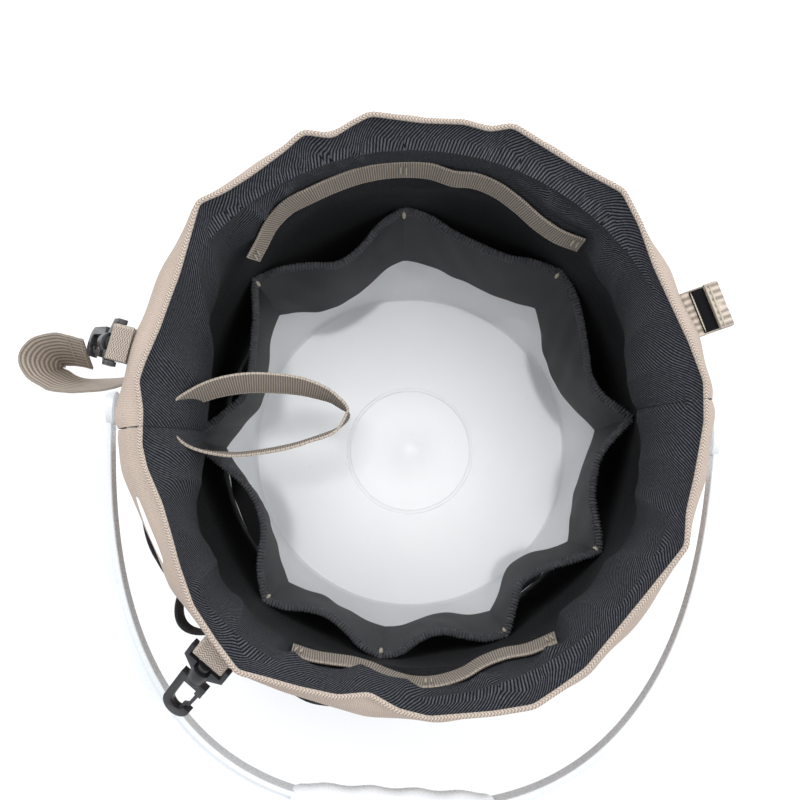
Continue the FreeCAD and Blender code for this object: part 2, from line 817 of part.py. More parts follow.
def make_nodes():
    nodes = {"pail_shell": make_pail(), "bail": make_bail()}
    for side, front in (("front", True), ("back", False)):
        nodes["outer_skirt_" + side] = make_skirt(front)
        nodes["skirt_hem_" + side] = make_hem(front)
        nodes["lining_" + side] = make_lining(front)
        nodes["rim_braid_" + side] = make_braid(front)
        nodes["inner_pocket_band_" + side] = make_inner_band(front)
        nodes["inner_pocket_edge_" + side] = make_inner_edge(front)
        nodes["outer_pocket_strip_" + side] = make_outer_strip(front)
        nodes["outer_pocket_binding_" + side] = make_outer_binding(front)
        nodes["small_pocket_" + side + "_left"] = small_pocket(front, 0 if front else 3)
        nodes["small_pocket_" + side + "_right"] = small_pocket(front, 2 if front else 1)
    nodes["inner_bartacks"] = make_bartacks()
    nodes["inner_loop_strip_back"] = make_loop_strip(back_strip_stops)
    nodes["inner_loop_strip_front"] = make_loop_strip(front_strip_stops)
    nodes["hanging_loop"] = make_hanging_loop()
    nodes["left_strap"] = make_left_strap()
    nodes["right_strap"] = make_right_strap()
    nodes["right_strap_pile"] = make_right_pile()
    nodes["elastic_loop"] = make_elastic_loop()
    add_hook(nodes, "front_hook", front_hook_angle, hook_tilt_front)
    add_hook(nodes, "left_hook", left_hook_angle, hook_tilt_left)
    return nodes


def export(nodes):
    os.makedirs("parts", exist_ok=True)
    for name, shape in nodes.items():
        shape.exportStep("parts/" + name + ".step")
        box = shape.BoundBox
        print(name, "solids", len(shape.Solids), "valid", shape.isValid(), "volume", round(shape.Volume),
              "x", round(box.XMin, 1), round(box.XMax, 1), "y", round(box.YMin, 1), round(box.YMax, 1),
              "z", round(box.ZMin, 1), round(box.ZMax, 1))


export(make_nodes())
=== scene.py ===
import json
import math

import bpy
import numpy as np
from mathutils import Matrix, Vector


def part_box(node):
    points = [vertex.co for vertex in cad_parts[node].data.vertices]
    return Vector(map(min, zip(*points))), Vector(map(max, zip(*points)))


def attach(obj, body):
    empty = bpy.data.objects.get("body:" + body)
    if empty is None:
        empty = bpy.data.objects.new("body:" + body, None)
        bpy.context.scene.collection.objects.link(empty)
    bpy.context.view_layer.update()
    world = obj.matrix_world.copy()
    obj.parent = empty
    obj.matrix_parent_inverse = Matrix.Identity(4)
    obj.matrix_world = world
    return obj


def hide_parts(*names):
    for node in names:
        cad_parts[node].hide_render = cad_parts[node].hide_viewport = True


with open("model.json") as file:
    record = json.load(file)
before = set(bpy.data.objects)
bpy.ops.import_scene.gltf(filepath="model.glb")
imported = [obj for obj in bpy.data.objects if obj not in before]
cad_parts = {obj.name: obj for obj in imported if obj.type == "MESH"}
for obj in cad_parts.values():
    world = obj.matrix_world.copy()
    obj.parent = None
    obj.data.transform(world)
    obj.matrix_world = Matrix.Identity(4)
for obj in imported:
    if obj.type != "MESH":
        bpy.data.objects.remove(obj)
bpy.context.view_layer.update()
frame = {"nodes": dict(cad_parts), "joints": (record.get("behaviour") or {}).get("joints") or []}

# Tool bucket organizer. Metres, the frame's own axes: +Z up, +Y the back, +X the right.
# Angles round the pail are in degrees from +X towards +Y.

MM = 0.001
FULL_TURN = 2 * math.pi

# ------------------------------------------------------------------ camera, light and floor

CAMERA_PLACE = Vector((-0.0042, -0.0476, 0.9826))
CAMERA_RIGHT = Vector((1.0, 0.0, -0.0042))
CAMERA_UP = Vector((0.0004, 0.9958, 0.0918))
CAMERA_LENS = 52.72


def add_camera():
    bpy.ops.object.select_all(action="DESELECT")
    bpy.ops.object.camera_add(location=CAMERA_PLACE)
    camera = bpy.context.object
    back = CAMERA_RIGHT.cross(CAMERA_UP)
    turn = Matrix((CAMERA_RIGHT, CAMERA_UP, back)).transposed()
    camera.rotation_euler = turn.to_euler()
    camera.data.lens = CAMERA_LENS
    camera.data.sensor_width = 36.0
    bpy.context.scene.camera = camera


def add_light(place, target, size, power):
    bpy.ops.object.light_add(type="AREA", location=place)
    light = bpy.context.object
    aim = Vector(target) - Vector(place)
    light.rotation_euler = aim.to_track_quat("-Z", "Y").to_euler()
    light.data.size = size
    light.data.energy = power


LIGHT_TARGET = (0, 0, 0.2)
LIGHT_SIZE = 1.2
SPOT_PLACE = (0, 0, 2.4)
SPOT_POWER = 128
SPOT_CONE = math.radians(6.4)


def add_spot():
    """A narrow light down into the pail, so that its floor isn't in the shade of its wall."""
    bpy.ops.object.light_add(type="SPOT", location=SPOT_PLACE)
    spot = bpy.context.object
    spot.data.energy = SPOT_POWER
    spot.data.spot_size = SPOT_CONE
    spot.data.spot_blend = 0.4
    spot.data.shadow_soft_size = 0.1


def add_surroundings():
    add_light((-0.5, 1.0, 1.7), LIGHT_TARGET, LIGHT_SIZE, 17)
    add_light((1.1, 0.1, 1.6), LIGHT_TARGET, LIGHT_SIZE, 13)
    add_spot()
    world = bpy.data.worlds.new("studio")
    world.use_nodes = True
    world.node_tree.nodes["Background"].inputs["Color"].default_value = (0.95, 0.97, 1.0, 1)
    world.node_tree.nodes["Background"].inputs["Strength"].default_value = 1.0
    bpy.context.scene.world = world
    bpy.ops.mesh.primitive_plane_add(size=6, location=(0, 0, 0))
    floor = bpy.context.object
    floor.name = "studio_floor"
    paint = bpy.data.materials.new("studio_floor")
    paint.use_nodes = True
    paint.node_tree.nodes["Principled BSDF"].inputs["Base Color"].default_value = (0.93, 0.93, 0.93, 1)
    paint.node_tree.nodes["Principled BSDF"].inputs["Roughness"].default_value = 0.8
    floor.data.materials.append(paint)


add_camera()
add_surroundings()
bpy.context.scene.view_settings.view_transform = "Standard"

# ------------------------------------------------------------------ materials


class Value:
    """A varying number in a material. Its operators add Math nodes."""

    def __init__(self, finish, socket):
        self.finish = finish
        self.socket = socket

    def maths(self, operation, *others):
        inputs = {0: self}
        for index, other in enumerate(others):
            inputs[index + 1] = other
        return self.finish.node("ShaderNodeMath", {"operation": operation}, inputs)

    def __add__(self, other):
        return self.maths("ADD", other)

    def __radd__(self, other):
        return self.maths("ADD", other)

    def __sub__(self, other):
        return self.maths("SUBTRACT", other)

    def __rsub__(self, other):
        return (self * -1.0).maths("ADD", other)

    def __mul__(self, other):
        return self.maths("MULTIPLY", other)

    def __rmul__(self, other):
        return self.maths("MULTIPLY", other)

    def __truediv__(self, other):
        return self.maths("DIVIDE", other)

    def __pow__(self, other):
        return self.maths("POWER", other)

    def __gt__(self, other):
        return self.maths("GREATER_THAN", other)

    def __lt__(self, other):
        return self.maths("LESS_THAN", other)

    def clamped(self):
        return self.maths("MAXIMUM", 0.0).maths("MINIMUM", 1.0)

    def wave(self, pitch):
        """A ridge from 0 to 1 that repeats at each pitch."""
        return (self * (FULL_TURN / pitch)).maths("SINE") * 0.5 + 0.5

    def zigzag(self, width):
        """Rises and falls between 0 and the width."""
        return self.maths("PINGPONG", width)


class Finish:
    """A material and the nodes that make it."""

    def __init__(self, name, gloss=0.5, **constants):
        self.material = bpy.data.materials.new(name)
        self.material.use_nodes = True
        self.tree = self.material.node_tree
        self.shader = self.tree.nodes["Principled BSDF"]
        self.shader.inputs["Specular IOR Level"].default_value = gloss
        for label, value in constants.items():
            self.shader.inputs[label.replace("_", " ").title()].default_value = value

    def node(self, kind, settings=None, inputs=None, output=0):
        made = self.tree.nodes.new(kind)
        for key, value in (settings or {}).items():
            setattr(made, key, value)
        for key, value in (inputs or {}).items():
            if isinstance(value, Value):
                self.tree.links.new(value.socket, made.inputs[key])
            else:
                made.inputs[key].default_value = value
        return Value(self, made.outputs[output])

    def surface(self):
        """The piece's own UV map, in metres: along, across."""
        flat = self.node("ShaderNodeTexCoord", output="UV")
        along = self.node("ShaderNodeSeparateXYZ", None, {0: flat}, 0)
        across = self.node("ShaderNodeSeparateXYZ", None, {0: flat}, 1)
        return flat, along, across

    def place(self):
        return self.node("ShaderNodeTexCoord", output="Object")

    def noise(self, where, scale, detail=2.0, distortion=0.0):
        inputs = {"Vector": where, "Scale": scale, "Detail": detail, "Distortion": distortion}
        return self.node("ShaderNodeTexNoise", None, inputs, "Fac")

    def blend(self, low, high, factor):
        """A colour between two colours."""
        inputs = {0: factor}
        for index, colour in ((6, low), (7, high)):
            inputs[index] = colour if isinstance(colour, Value) else (*colour, 1)
        return self.node("ShaderNodeMix", {"data_type": "RGBA"}, inputs, 2)

    def darken(self, colour, factor):
        return self.blend(colour, (0, 0, 0), factor)

    def paint(self, colour=None, roughness=None, height=None, depth=0.0):
        if colour is not None:
            self.tree.links.new(colour.socket, self.shader.inputs["Base Color"])
        if roughness is not None:
            self.tree.links.new(roughness.socket, self.shader.inputs["Roughness"])
        if height is not None:
            inputs = {"Strength": 1.0, "Distance": depth, "Height": height}
            bump = self.node("ShaderNodeBump", None, inputs, "Normal")
            self.tree.links.new(bump.socket, self.shader.inputs["Normal"])
        return self.material


# Painted shade on the lining: the depth over which it darkens below its top, and its darkest share.
PAINTED_SHADE_FALL = 45 * MM
PAINTED_SHADE_DARKEST = 0.72


def twill(name, dark, pale, pitch, depth, sheen, painted_shade_top=0.0):
    """Cloth with slanting threads; where a top height is given, painted shade darkens it below that height.
    """
    finish = Finish(name, 0.1, roughness=0.85, sheen_weight=sheen, sheen_roughness=0.45)
    flat, along, across = finish.surface()
    drift = finish.noise(flat, 28.0, 1.0) * pitch
    ridge = (across + drift + along).wave(pitch)
    thread = (along - across).wave(pitch * 0.62)
    # Flecks: painted glints on the threads, also used as a fine bump.
    fleck = finish.noise(flat, 1.1 / pitch, 2.0)
    weave = (ridge * 1.3 - 0.2).clamped() * (thread * 0.4 + 0.6)
    # Dark to pale on the thread ridges: partly the weave's own pattern, partly painted glints.
    colour = finish.blend(dark, pale, (weave * (fleck * 1.7)).clamped())
    patches = finish.noise(flat, 14.0, 3.0)
    colour = finish.darken(colour, (patches - 0.35).clamped() * 0.25)
    # Painted shade: the cloth darkens with depth below the given top height.
    if painted_shade_top:
        height = finish.node("ShaderNodeSeparateXYZ", None, {0: finish.place()}, 2)
        colour = finish.darken(colour, ((painted_shade_top - height) / PAINTED_SHADE_FALL).clamped() * PAINTED_SHADE_DARKEST)
    roughness = 0.92 - weave * 0.25
    return finish.paint(colour, roughness, weave + fleck * 0.3, depth)


def plain_weave(name, dark, pale, pitch, depth, sheen=0.05):
    """Fine canvas: threads over and under, with a faint slant."""
    finish = Finish(name, 0.1, roughness=0.8, sheen_weight=sheen, sheen_roughness=0.5)
    flat, along, across = finish.surface()
    warp = along.wave(pitch)
    weft = (across + along * 0.5).wave(pitch * 0.9)
    weave = warp * 0.5 + weft * 0.5
    fleck = finish.noise(flat, 0.8 / pitch, 3.0)
    colour = finish.blend(dark, pale, (weave * 0.75 + fleck * 0.6 - 0.2).clamped())
    patches = finish.noise(flat, 9.0, 4.0)
    colour = finish.darken(colour, (patches - 0.4).clamped() * 0.5)
    return finish.paint(colour, 0.9 - weave * 0.15, weave + fleck * 0.4, depth)


def webbing(name, dark, pale, width, thickness, pitch=1.35 * MM, zigzags=False, lengthwise=False):
    """Ribbed webbing: ribs across it, or along it, and a tighter pale edge."""
    finish = Finish(name, 0.12, roughness=0.75, sheen_weight=0.05, sheen_roughness=0.5)
    flat, along, across = finish.surface()
    turn = width + thickness
    over = across.maths("MODULO", turn)
    edge = 1.0 - ((over - width / 2).maths("ABSOLUTE") < (width / 2 - 1.1 * MM))
    if zigzags:
        along = along + across.zigzag(1.5 * MM) * 0.8
    rib = across.wave(pitch) if lengthwise else along.wave(pitch)
    thread = along.wave(0.9 * MM) if lengthwise else across.wave(0.7 * MM)
    fleck = finish.noise(flat, 900.0, 2.0)
    shade = (rib * 0.8 + thread * 0.12 + fleck * 0.5 - 0.2).clamped()
    colour = finish.blend(dark, pale, shade)
    rim = along.wave(pitch * 2) * 0.6 + 0.2
    colour = finish.blend(colour, pale, edge * rim)
    return finish.paint(colour, 0.85 - rib * 0.15, rib + thread * 0.15 + fleck * 0.2, 0.35 * MM)


def thread_finish(name, dark, pale, pitch):
    """Dense stitches that lie side by side."""
    finish = Finish(name, 0.15, roughness=0.6, sheen_weight=0.04)
    flat, along, across = finish.surface()
    strand = (along + across * 0.35).wave(pitch)
    fibre = finish.noise(flat, 2200.0, 2.0)
    colour = finish.blend(dark, pale, (strand * 0.7 + fibre * 0.6 - 0.25).clamped())
    return finish.paint(colour, 0.75 - strand * 0.25, strand + fibre * 0.3, 0.3 * MM)


def smooth_cloth(name, dark, pale):
    """Smooth coated pocket cloth with a very fine grain."""
    finish = Finish(name, 0.15, roughness=0.6, sheen_weight=0.02, sheen_roughness=0.35)
    flat, along, across = finish.surface()
    grain = (along + across).wave(0.6 * MM) * 0.5 + finish.noise(flat, 1500.0, 2.0) * 0.5
    patches = finish.noise(flat, 20.0, 3.0)
    colour = finish.blend(dark, pale, (patches * 0.9 + grain * 0.25 - 0.05).clamped())
    return finish.paint(colour, 0.62 - grain * 0.1, grain, 0.06 * MM)


def moulded(name, dark, pale, roughness, grain, coat=0.0, scratch=0.0, soft=0.0):
    """Moulded plastic: slow shade changes, a fine surface grain and faint scuffs."""
    finish = Finish(name, coat_weight=coat, coat_roughness=0.2, subsurface_weight=soft,
                    subsurface_radius=(0.004, 0.004, 0.004))
    where = finish.place()
    cloud = finish.noise(where, 14.0, 3.0)
    fine = finish.noise(where, 700.0, 2.0)
    scuff = (finish.noise(where, 55.0, 6.0, 1.5) - 0.62).clamped() * scratch
    colour = finish.blend(dark, pale, (cloud + scuff).clamped())
    return finish.paint(colour, roughness + fine * 0.12 + scuff * 0.5, fine + cloud * 0.5, grain)


def pail_finish():
    """White pail plastic with a few specks and a faint mottling."""
    finish = Finish("white_pail_plastic", subsurface_weight=0.15, subsurface_radius=(0.006, 0.006, 0.006))
    where = finish.place()
    cloud = finish.noise(where, 7.0, 4.0)
    speck = finish.noise(where, 330.0, 0.0) > 0.865
    colour = finish.blend((0.86, 0.87, 0.885), (0.93, 0.94, 0.95), (cloud * 1.6 - 0.2).clamped())
    colour = finish.darken(colour, speck * 0.12)
    fine = finish.noise(where, 420.0, 2.0)
    return finish.paint(colour, 0.38 + fine * 0.15, fine + cloud, 0.05 * MM)


TAN_DARK = (0.295, 0.232, 0.188)
TAN_PALE = (0.625, 0.52, 0.448)

finishes = {
    "tan": plain_weave("tan_canvas", TAN_DARK, TAN_PALE, 0.95 * MM, 0.16 * MM),
    # The lining's pale thread colour is partly painted glints.
    "lining": twill("black_lining", (0.005, 0.0055, 0.007), (0.105, 0.111, 0.128), 1.9 * MM, 0.4 * MM,
                    # Painted shade below this height darkens the lower lining.
                    sheen=0.03, painted_shade_top=0.348),
    "outer_black": twill("black_canvas", (0.003, 0.003, 0.004), (0.03, 0.031, 0.035), 1.6 * MM, 0.3 * MM,
                         sheen=0.1),
    "grey": smooth_cloth("grey_pocket_cloth", (0.0045, 0.005, 0.0065), (0.0115, 0.0122, 0.015)),
    # The black overlock's pale tone is painted sheen glints on the thread.
    "overlock": thread_finish("black_overlock_thread", (0.004, 0.004, 0.005), (0.22, 0.225, 0.245), 0.5 * MM),
    "tack": thread_finish("tan_bartack_thread", (0.50, 0.44, 0.34), (0.88, 0.82, 0.69), 0.5 * MM),
    "webbing": webbing("tan_webbing", (0.12, 0.10, 0.083), (0.43, 0.375, 0.315), 20 * MM, 1.5 * MM),
    "tab": webbing("tan_elastic", (0.16, 0.13, 0.105), (0.52, 0.45, 0.39), 19 * MM, 1.5 * MM, zigzags=True),
    "wide": webbing("taupe_webbing", (0.19, 0.163, 0.135), (0.56, 0.48, 0.41), 38 * MM, 1.5 * MM,
                    3.2 * MM, lengthwise=True),
    "braid": webbing("tan_braid", (0.22, 0.17, 0.135), (0.62, 0.53, 0.46), 5 * MM, 5 * MM, 1.7 * MM, True),
    "binding": webbing("black_binding", (0.004, 0.004, 0.005), (0.04, 0.041, 0.046), 9 * MM, 1.4 * MM,
                       0.9 * MM),
    "pile": twill("black_pile", (0.002, 0.002, 0.003), (0.014, 0.014, 0.017), 0.9 * MM, 0.5 * MM, sheen=0.02),
    "hook": moulded("black_satin_plastic", (0.004, 0.004, 0.005), (0.012, 0.012, 0.014), 0.34, 0.04 * MM,
                    coat=0.12, scratch=0.3),
    "bail": moulded("milky_plastic", (0.70, 0.73, 0.76), (0.88, 0.90, 0.92), 0.22, 0.05 * MM, coat=0.4,
                    scratch=0.1, soft=0.25),
    "pail": pail_finish(),
}

# ------------------------------------------------------------------ modelling


def pick(piece):
    bpy.ops.object.select_all(action="DESELECT")
    piece.select_set(True)
    bpy.context.view_layer.objects.active = piece


def edit_all(piece, *steps):
    """Run edit-mode steps with the whole piece selected."""
    pick(piece)
    bpy.ops.object.mode_set(mode="EDIT")
    bpy.ops.mesh.select_all(action="SELECT")
    for step in steps:
        step()
    bpy.ops.object.mode_set(mode="OBJECT")


def merge():
    bpy.ops.mesh.remove_doubles(threshold=1e-6)


def cap_ends():
    bpy.ops.mesh.fill_holes(sides=0)


def face_out():
    bpy.ops.mesh.normals_make_consistent(inside=False)


def points_of(piece):
    flat = np.empty(len(piece.data.vertices) * 3)
    piece.data.vertices.foreach_get("co", flat)
    return flat.reshape(-1, 3)


def move_points(piece, points):
    piece.data.vertices.foreach_set("co", np.ascontiguousarray(points, dtype=float).ravel())
    piece.data.update()


def lay_grid(name, columns, rows, place, size):
    """A grid laid where place(along, across) says, its UV map as large as the cloth."""
    bpy.ops.object.select_all(action="DESELECT")
    bpy.ops.mesh.primitive_grid_add(x_subdivisions=columns, y_subdivisions=rows, size=1.0)
    piece = bpy.context.object
    piece.name = name
    piece.data.name = name
    shares = points_of(piece)[:, :2] + 0.5
    move_points(piece, place(shares[:, 0], shares[:, 1]))
    flat = np.empty(len(piece.data.loops) * 2)
    layer = piece.data.uv_layers.active.data
    layer.foreach_get("uv", flat)
    layer.foreach_set("uv", (flat.reshape(-1, 2) * np.array(size)).ravel())
    return piece


def thicken(piece, thickness, offset=0.0):
    pick(piece)
    wall = piece.modifiers.new("wall", "SOLIDIFY")
    wall.thickness = thickness
    wall.offset = offset
    bpy.ops.object.modifier_apply(modifier=wall.name)


def bevel(piece, width, segments=2, angle=35):
    pick(piece)
    edge = piece.modifiers.new("edge", "BEVEL")
    edge.width = width
    edge.segments = segments
    edge.limit_method = "ANGLE"
    edge.angle_limit = math.radians(angle)
    edge.harden_normals = False
    bpy.ops.object.modifier_apply(modifier=edge.name)


def join(pieces, name):
    bpy.ops.object.select_all(action="DESELECT")
    for piece in pieces:
        piece.select_set(True)
    bpy.context.view_layer.objects.active = pieces[0]
    bpy.ops.object.join()
    pieces[0].name = name
    pieces[0].data.name = name
    return pieces[0]


def done(piece, finish, body="bucket", replaced=(), angle=40):
    """Give a finished piece its material and its body, and hide the nodes it stands for."""
    piece.data.materials.clear()
    piece.data.materials.append(finishes[finish])
    pick(piece)
    bpy.ops.object.shade_smooth_by_angle(angle=math.radians(angle))
    if replaced:
        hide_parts(*replaced)
    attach(piece, body)
    return piece


def unit(rows):
    return rows / np.linalg.norm(rows, axis=1, keepdims=True)


def polar(radius, angle, height):
    turn = np.radians(angle)
    return np.stack([radius * np.cos(turn), radius * np.sin(turn), height + 0 * turn], axis=-1)


def upright(points):
    """The up direction, once for each point."""
    return np.zeros_like(points) + (0, 0, 1.0)


def run_along(points):
    """The distance from the first point to each point."""
    return np.concatenate([[0], np.cumsum(np.linalg.norm(np.diff(points, axis=0), axis=1))])


def length_of(points):
    return float(np.linalg.norm(np.diff(points, axis=0), axis=1).sum())


def oval_section(out, up, count, power=1.0):
    """A closed section of (out, up) half sizes; a power below 1 squares it."""
    turn = np.linspace(0, FULL_TURN, count, endpoint=False)
    cosine, sine = np.cos(turn), np.sin(turn)
    return np.stack([np.sign(cosine) * np.abs(cosine) ** power * out,
                     np.sign(sine) * np.abs(sine) ** power * up], axis=1)


def through(shares, values, at):
    """A smooth line through the given values, read at the given shares."""
    shares = np.asarray(shares, float)
    values = np.asarray(values, float)
    slopes = np.gradient(values, shares)
    spot = np.clip(np.searchsorted(shares, at, side="right") - 1, 0, len(shares) - 2)
    gap = shares[spot + 1] - shares[spot]
    t = (at - shares[spot]) / gap
    start = values[spot] * (2 * t**3 - 3 * t**2 + 1) + slopes[spot] * gap * (t**3 - 2 * t**2 + t)
    return start + values[spot + 1] * (3 * t**2 - 2 * t**3) + slopes[spot + 1] * gap * (t**3 - t**2)


def smooth_path(points, count):
    """Evenly spaced points on a smooth curve through the given points."""
    points = np.asarray(points, float)
    travel = run_along(points[:, :3])
    dense = np.linspace(0, travel[-1], 12 * len(points))
    curve = np.stack([through(travel, points[:, axis], dense) for axis in range(points.shape[1])], axis=1)
    run = run_along(curve[:, :3])
    even = np.linspace(0, run[-1], count)
    return np.stack([np.interp(even, run, curve[:, axis]) for axis in range(curve.shape[1])], axis=1)


def sweep(name, centres, outs, ups, section):
    """A closed section of (out, up) points carried along a line of centres."""
    section = np.asarray(section, float)
    columns = len(centres) - 1
    rows = len(section)
    step = np.linalg.norm(np.roll(section, -1, axis=0) - section, axis=1).sum()
    run = length_of(centres)

    def place(along, across):
        column = np.rint(along * columns).astype(int)
        row = np.rint(across * rows).astype(int) % rows
        spread = section[row]
        return centres[column] + outs[column] * spread[:, :1] + ups[column] * spread[:, 1:2]

    piece = lay_grid(name, columns, rows, place, (run, step))
    edit_all(piece, merge)
    edit_all(piece, cap_ends)
    edit_all(piece, face_out)
    return piece


def frame_of(centres, widths):
    """Directions out of and across a ribbon that follows the centres."""
    along = unit(np.gradient(centres, axis=0))
    across = unit(widths - along * (widths * along).sum(axis=1, keepdims=True))
    return np.cross(along, across), across


def ribbon_section(width, thickness, steps=8):
    """A flat webbing section with rounded edges, starting at one corner of a face."""
    half = width / 2
    face = [(thickness / 2, -half + width * step / steps) for step in range(steps + 1)]
    back = [(-out, -up) for out, up in face]
    return face + [(0, half + thickness * 0.3)] + back + [(0, -half - thickness * 0.3)]


def ribbon(name, points, widths, width, thickness, count):
    """Webbing through the points, its width laid along the given directions."""
    path = smooth_path(np.hstack([np.asarray(points, float), np.asarray(widths, float)]), count)
    outs, ups = frame_of(path[:, :3], path[:, 3:])
    return sweep(name, path[:, :3], outs, ups, ribbon_section(width, thickness))


def turned(name, profile, origin, axis, steps=96):
    """A closed solid turned about an axis from (radius, distance along the axis) points."""
    profile = np.asarray(profile, float)
    axis = np.asarray(axis, float) / np.linalg.norm(axis)
    helper = np.array([0, 0, 1.0]) if abs(axis[2]) < 0.9 else np.array([1.0, 0, 0])
    side = np.cross(helper, axis)
    side = side / np.linalg.norm(side)
    other = np.cross(axis, side)
    rows = len(profile) - 1
    run = run_along(profile)

    def place(along, across):
        turn = np.rint(along * steps) / steps * FULL_TURN
        row = np.rint(across * rows).astype(int)
        radius = profile[row, :1]
        ring = np.cos(turn)[:, None] * side + np.sin(turn)[:, None] * other
        return np.asarray(origin) + ring * radius + axis * profile[row, 1:2]

    piece = lay_grid(name, steps, rows, place, (FULL_TURN * profile[:, 0].max(), run[-1]))
    edit_all(piece, merge, face_out)
    return piece


# ------------------------------------------------------------------ driving sizes

PAIL_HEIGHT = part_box("pail_shell")[1][2]
PAIL_BASE = 131 * MM
PAIL_TOP = 149.5 * MM
PAIL_WALL = 2.2 * MM
FLOOR_TOP = 6.6 * MM
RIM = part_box("outer_skirt_back")[1][2]
SKIRT_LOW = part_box("outer_skirt_back")[0][2]
SKIRT = 155 * MM
SEAM_LEFT = 182.0
SEAM_RIGHT = 3.5
INNER_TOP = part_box("inner_pocket_band_back")[1][2]
INNER_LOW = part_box("inner_pocket_band_back")[0][2]
OUTER_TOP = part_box("outer_pocket_strip_back")[1][2]
OUTER_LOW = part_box("outer_pocket_strip_back")[0][2]
LINING_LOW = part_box("lining_back")[0][2]
WEB = 1.5 * MM
LINING_CLOTH = 0.8 * MM
SKIRT_CLOTH = 1.0 * MM
POCKET_CLOTH = 1.0 * MM
PAIL_RIB_DROPS = (76 * MM, 60 * MM)
EAR_FACE = 161 * MM
FLOOR_RING = 51 * MM
SEAM = 0.15 * MM

bail_joint = next(joint for joint in frame["joints"] if joint["name"] == "bail_swing")
EAR_HEIGHT = bail_joint["pos_m"][2]
EAR_AXIS = np.array(bail_joint["axis"], float) * -1
EAR_TURN = math.degrees(math.atan2(EAR_AXIS[1], EAR_AXIS[0]))


def pail_outer(height):
    return PAIL_BASE + (PAIL_TOP - PAIL_BASE) * height / PAIL_HEIGHT


def wall(height):
    """The radius of the lining's inner face where it lies flat on the pail."""
    return pail_outer(height) - PAIL_WALL - 1.7 * MM


# ------------------------------------------------------------------ pail and bail


def make_pail():
    top = PAIL_HEIGHT
    outer = [(PAIL_BASE - 3 * MM, 0), (PAIL_BASE - 0.8 * MM, 0.3 * MM), (PAIL_BASE, 1.6 * MM)]
    for drop in PAIL_RIB_DROPS:
        low = top - drop
        radius = pail_outer(low)
        outer += [(radius, low), (radius + 2.6 * MM, low + 0.3 * MM), (radius + 3 * MM, low + 1.2 * MM),
                  (radius + 2.6 * MM, low + 2.1 * MM), (radius, low + 2.4 * MM)]
    bead = PAIL_TOP + 3 * MM
    outer += [(pail_outer(top - 9.4 * MM), top - 9.4 * MM), (bead - 0.8 * MM, top - 9 * MM),
              (bead, top - 8 * MM), (bead, top - 1.6 * MM), (bead - 1.2 * MM, top - 0.2 * MM)]
    inner_top = PAIL_TOP - PAIL_WALL
    inner = [(inner_top + 1 * MM, top), (inner_top, top - 1 * MM)]
    corner = PAIL_BASE - PAIL_WALL
    inner += [(corner + 0.3 * MM, FLOOR_TOP + 6 * MM), (corner - 0.6 * MM, FLOOR_TOP + 2.4 * MM),
              (corner - 2.4 * MM, FLOOR_TOP + 0.5 * MM), (corner - 5 * MM, FLOOR_TOP)]
    floor = [(FLOOR_RING + 1.4 * MM, FLOOR_TOP), (FLOOR_RING + 0.7 * MM, FLOOR_TOP + 0.6 * MM),
             (FLOOR_RING - 0.9 * MM, FLOOR_TOP + 0.6 * MM), (FLOOR_RING - 1.8 * MM, FLOOR_TOP)]
    floor += [(9 * MM, FLOOR_TOP), (8 * MM, FLOOR_TOP - 0.4 * MM), (0, FLOOR_TOP - 0.4 * MM)]
    under = [(0, 4 * MM), (PAIL_BASE - 6 * MM, 4 * MM), (PAIL_BASE - 4.4 * MM, 3.4 * MM),
             (PAIL_BASE - 4.4 * MM, 0.4 * MM)]
    shell = turned("pail", under + outer + inner + floor, (0, 0, 0), (0, 0, 1), 160)
    parts = [shell]
    face = EAR_FACE
    root = pail_outer(EAR_HEIGHT) - 1.6 * MM
    for side in (-1, 1):
        profile = [(0, root), (11 * MM, root), (11 * MM, face - 1.2 * MM), (9.8 * MM, face),
                   (5.4 * MM, face), (4.6 * MM, face - 0.8 * MM), (4.6 * MM, face - 9 * MM),
                   (0, face - 9 * MM)]
        parts.append(turned("ear", profile, (0, 0, EAR_HEIGHT), EAR_AXIS * side, 48))
    return done(join(parts, "white_pail"), "pail", replaced=["pail_shell"], angle=32)


BAIL_HALF = 170.5 * MM
BAIL_REACH = 224 * MM
BAIL_POWER = 2.5
BAIL_DROOP = 10.0
GRIP_HALF = 59 * MM


def bail_line(count):
    """The bail's centre line in its own plane, with the direction out of the curve."""
    turn = np.linspace(0, math.pi, count)
    power = 2.0 / BAIL_POWER
    cosine = np.cos(turn)
    x = np.sign(cosine) * np.abs(cosine) ** power * BAIL_HALF
    y = -np.abs(np.sin(turn)) ** power * BAIL_REACH
    path = smooth_path(np.stack([x, y, 0 * x], axis=1), count)
    along = unit(np.gradient(path, axis=0))
    out = np.stack([along[:, 1], -along[:, 0], 0 * along[:, 0]], axis=1)
    return path, -out


def bail_to_place(points):
    droop = math.radians(BAIL_DROOP)
    turn = math.radians(EAR_TURN)
    x, y, z = points.T
    low = np.stack([x, y * math.cos(droop) - z * math.sin(droop), y * math.sin(droop) + z * math.cos(droop)])
    return np.stack([low[0] * math.cos(turn) - low[1] * math.sin(turn),
                     low[0] * math.sin(turn) + low[1] * math.cos(turn), low[2] + EAR_HEIGHT], axis=1)


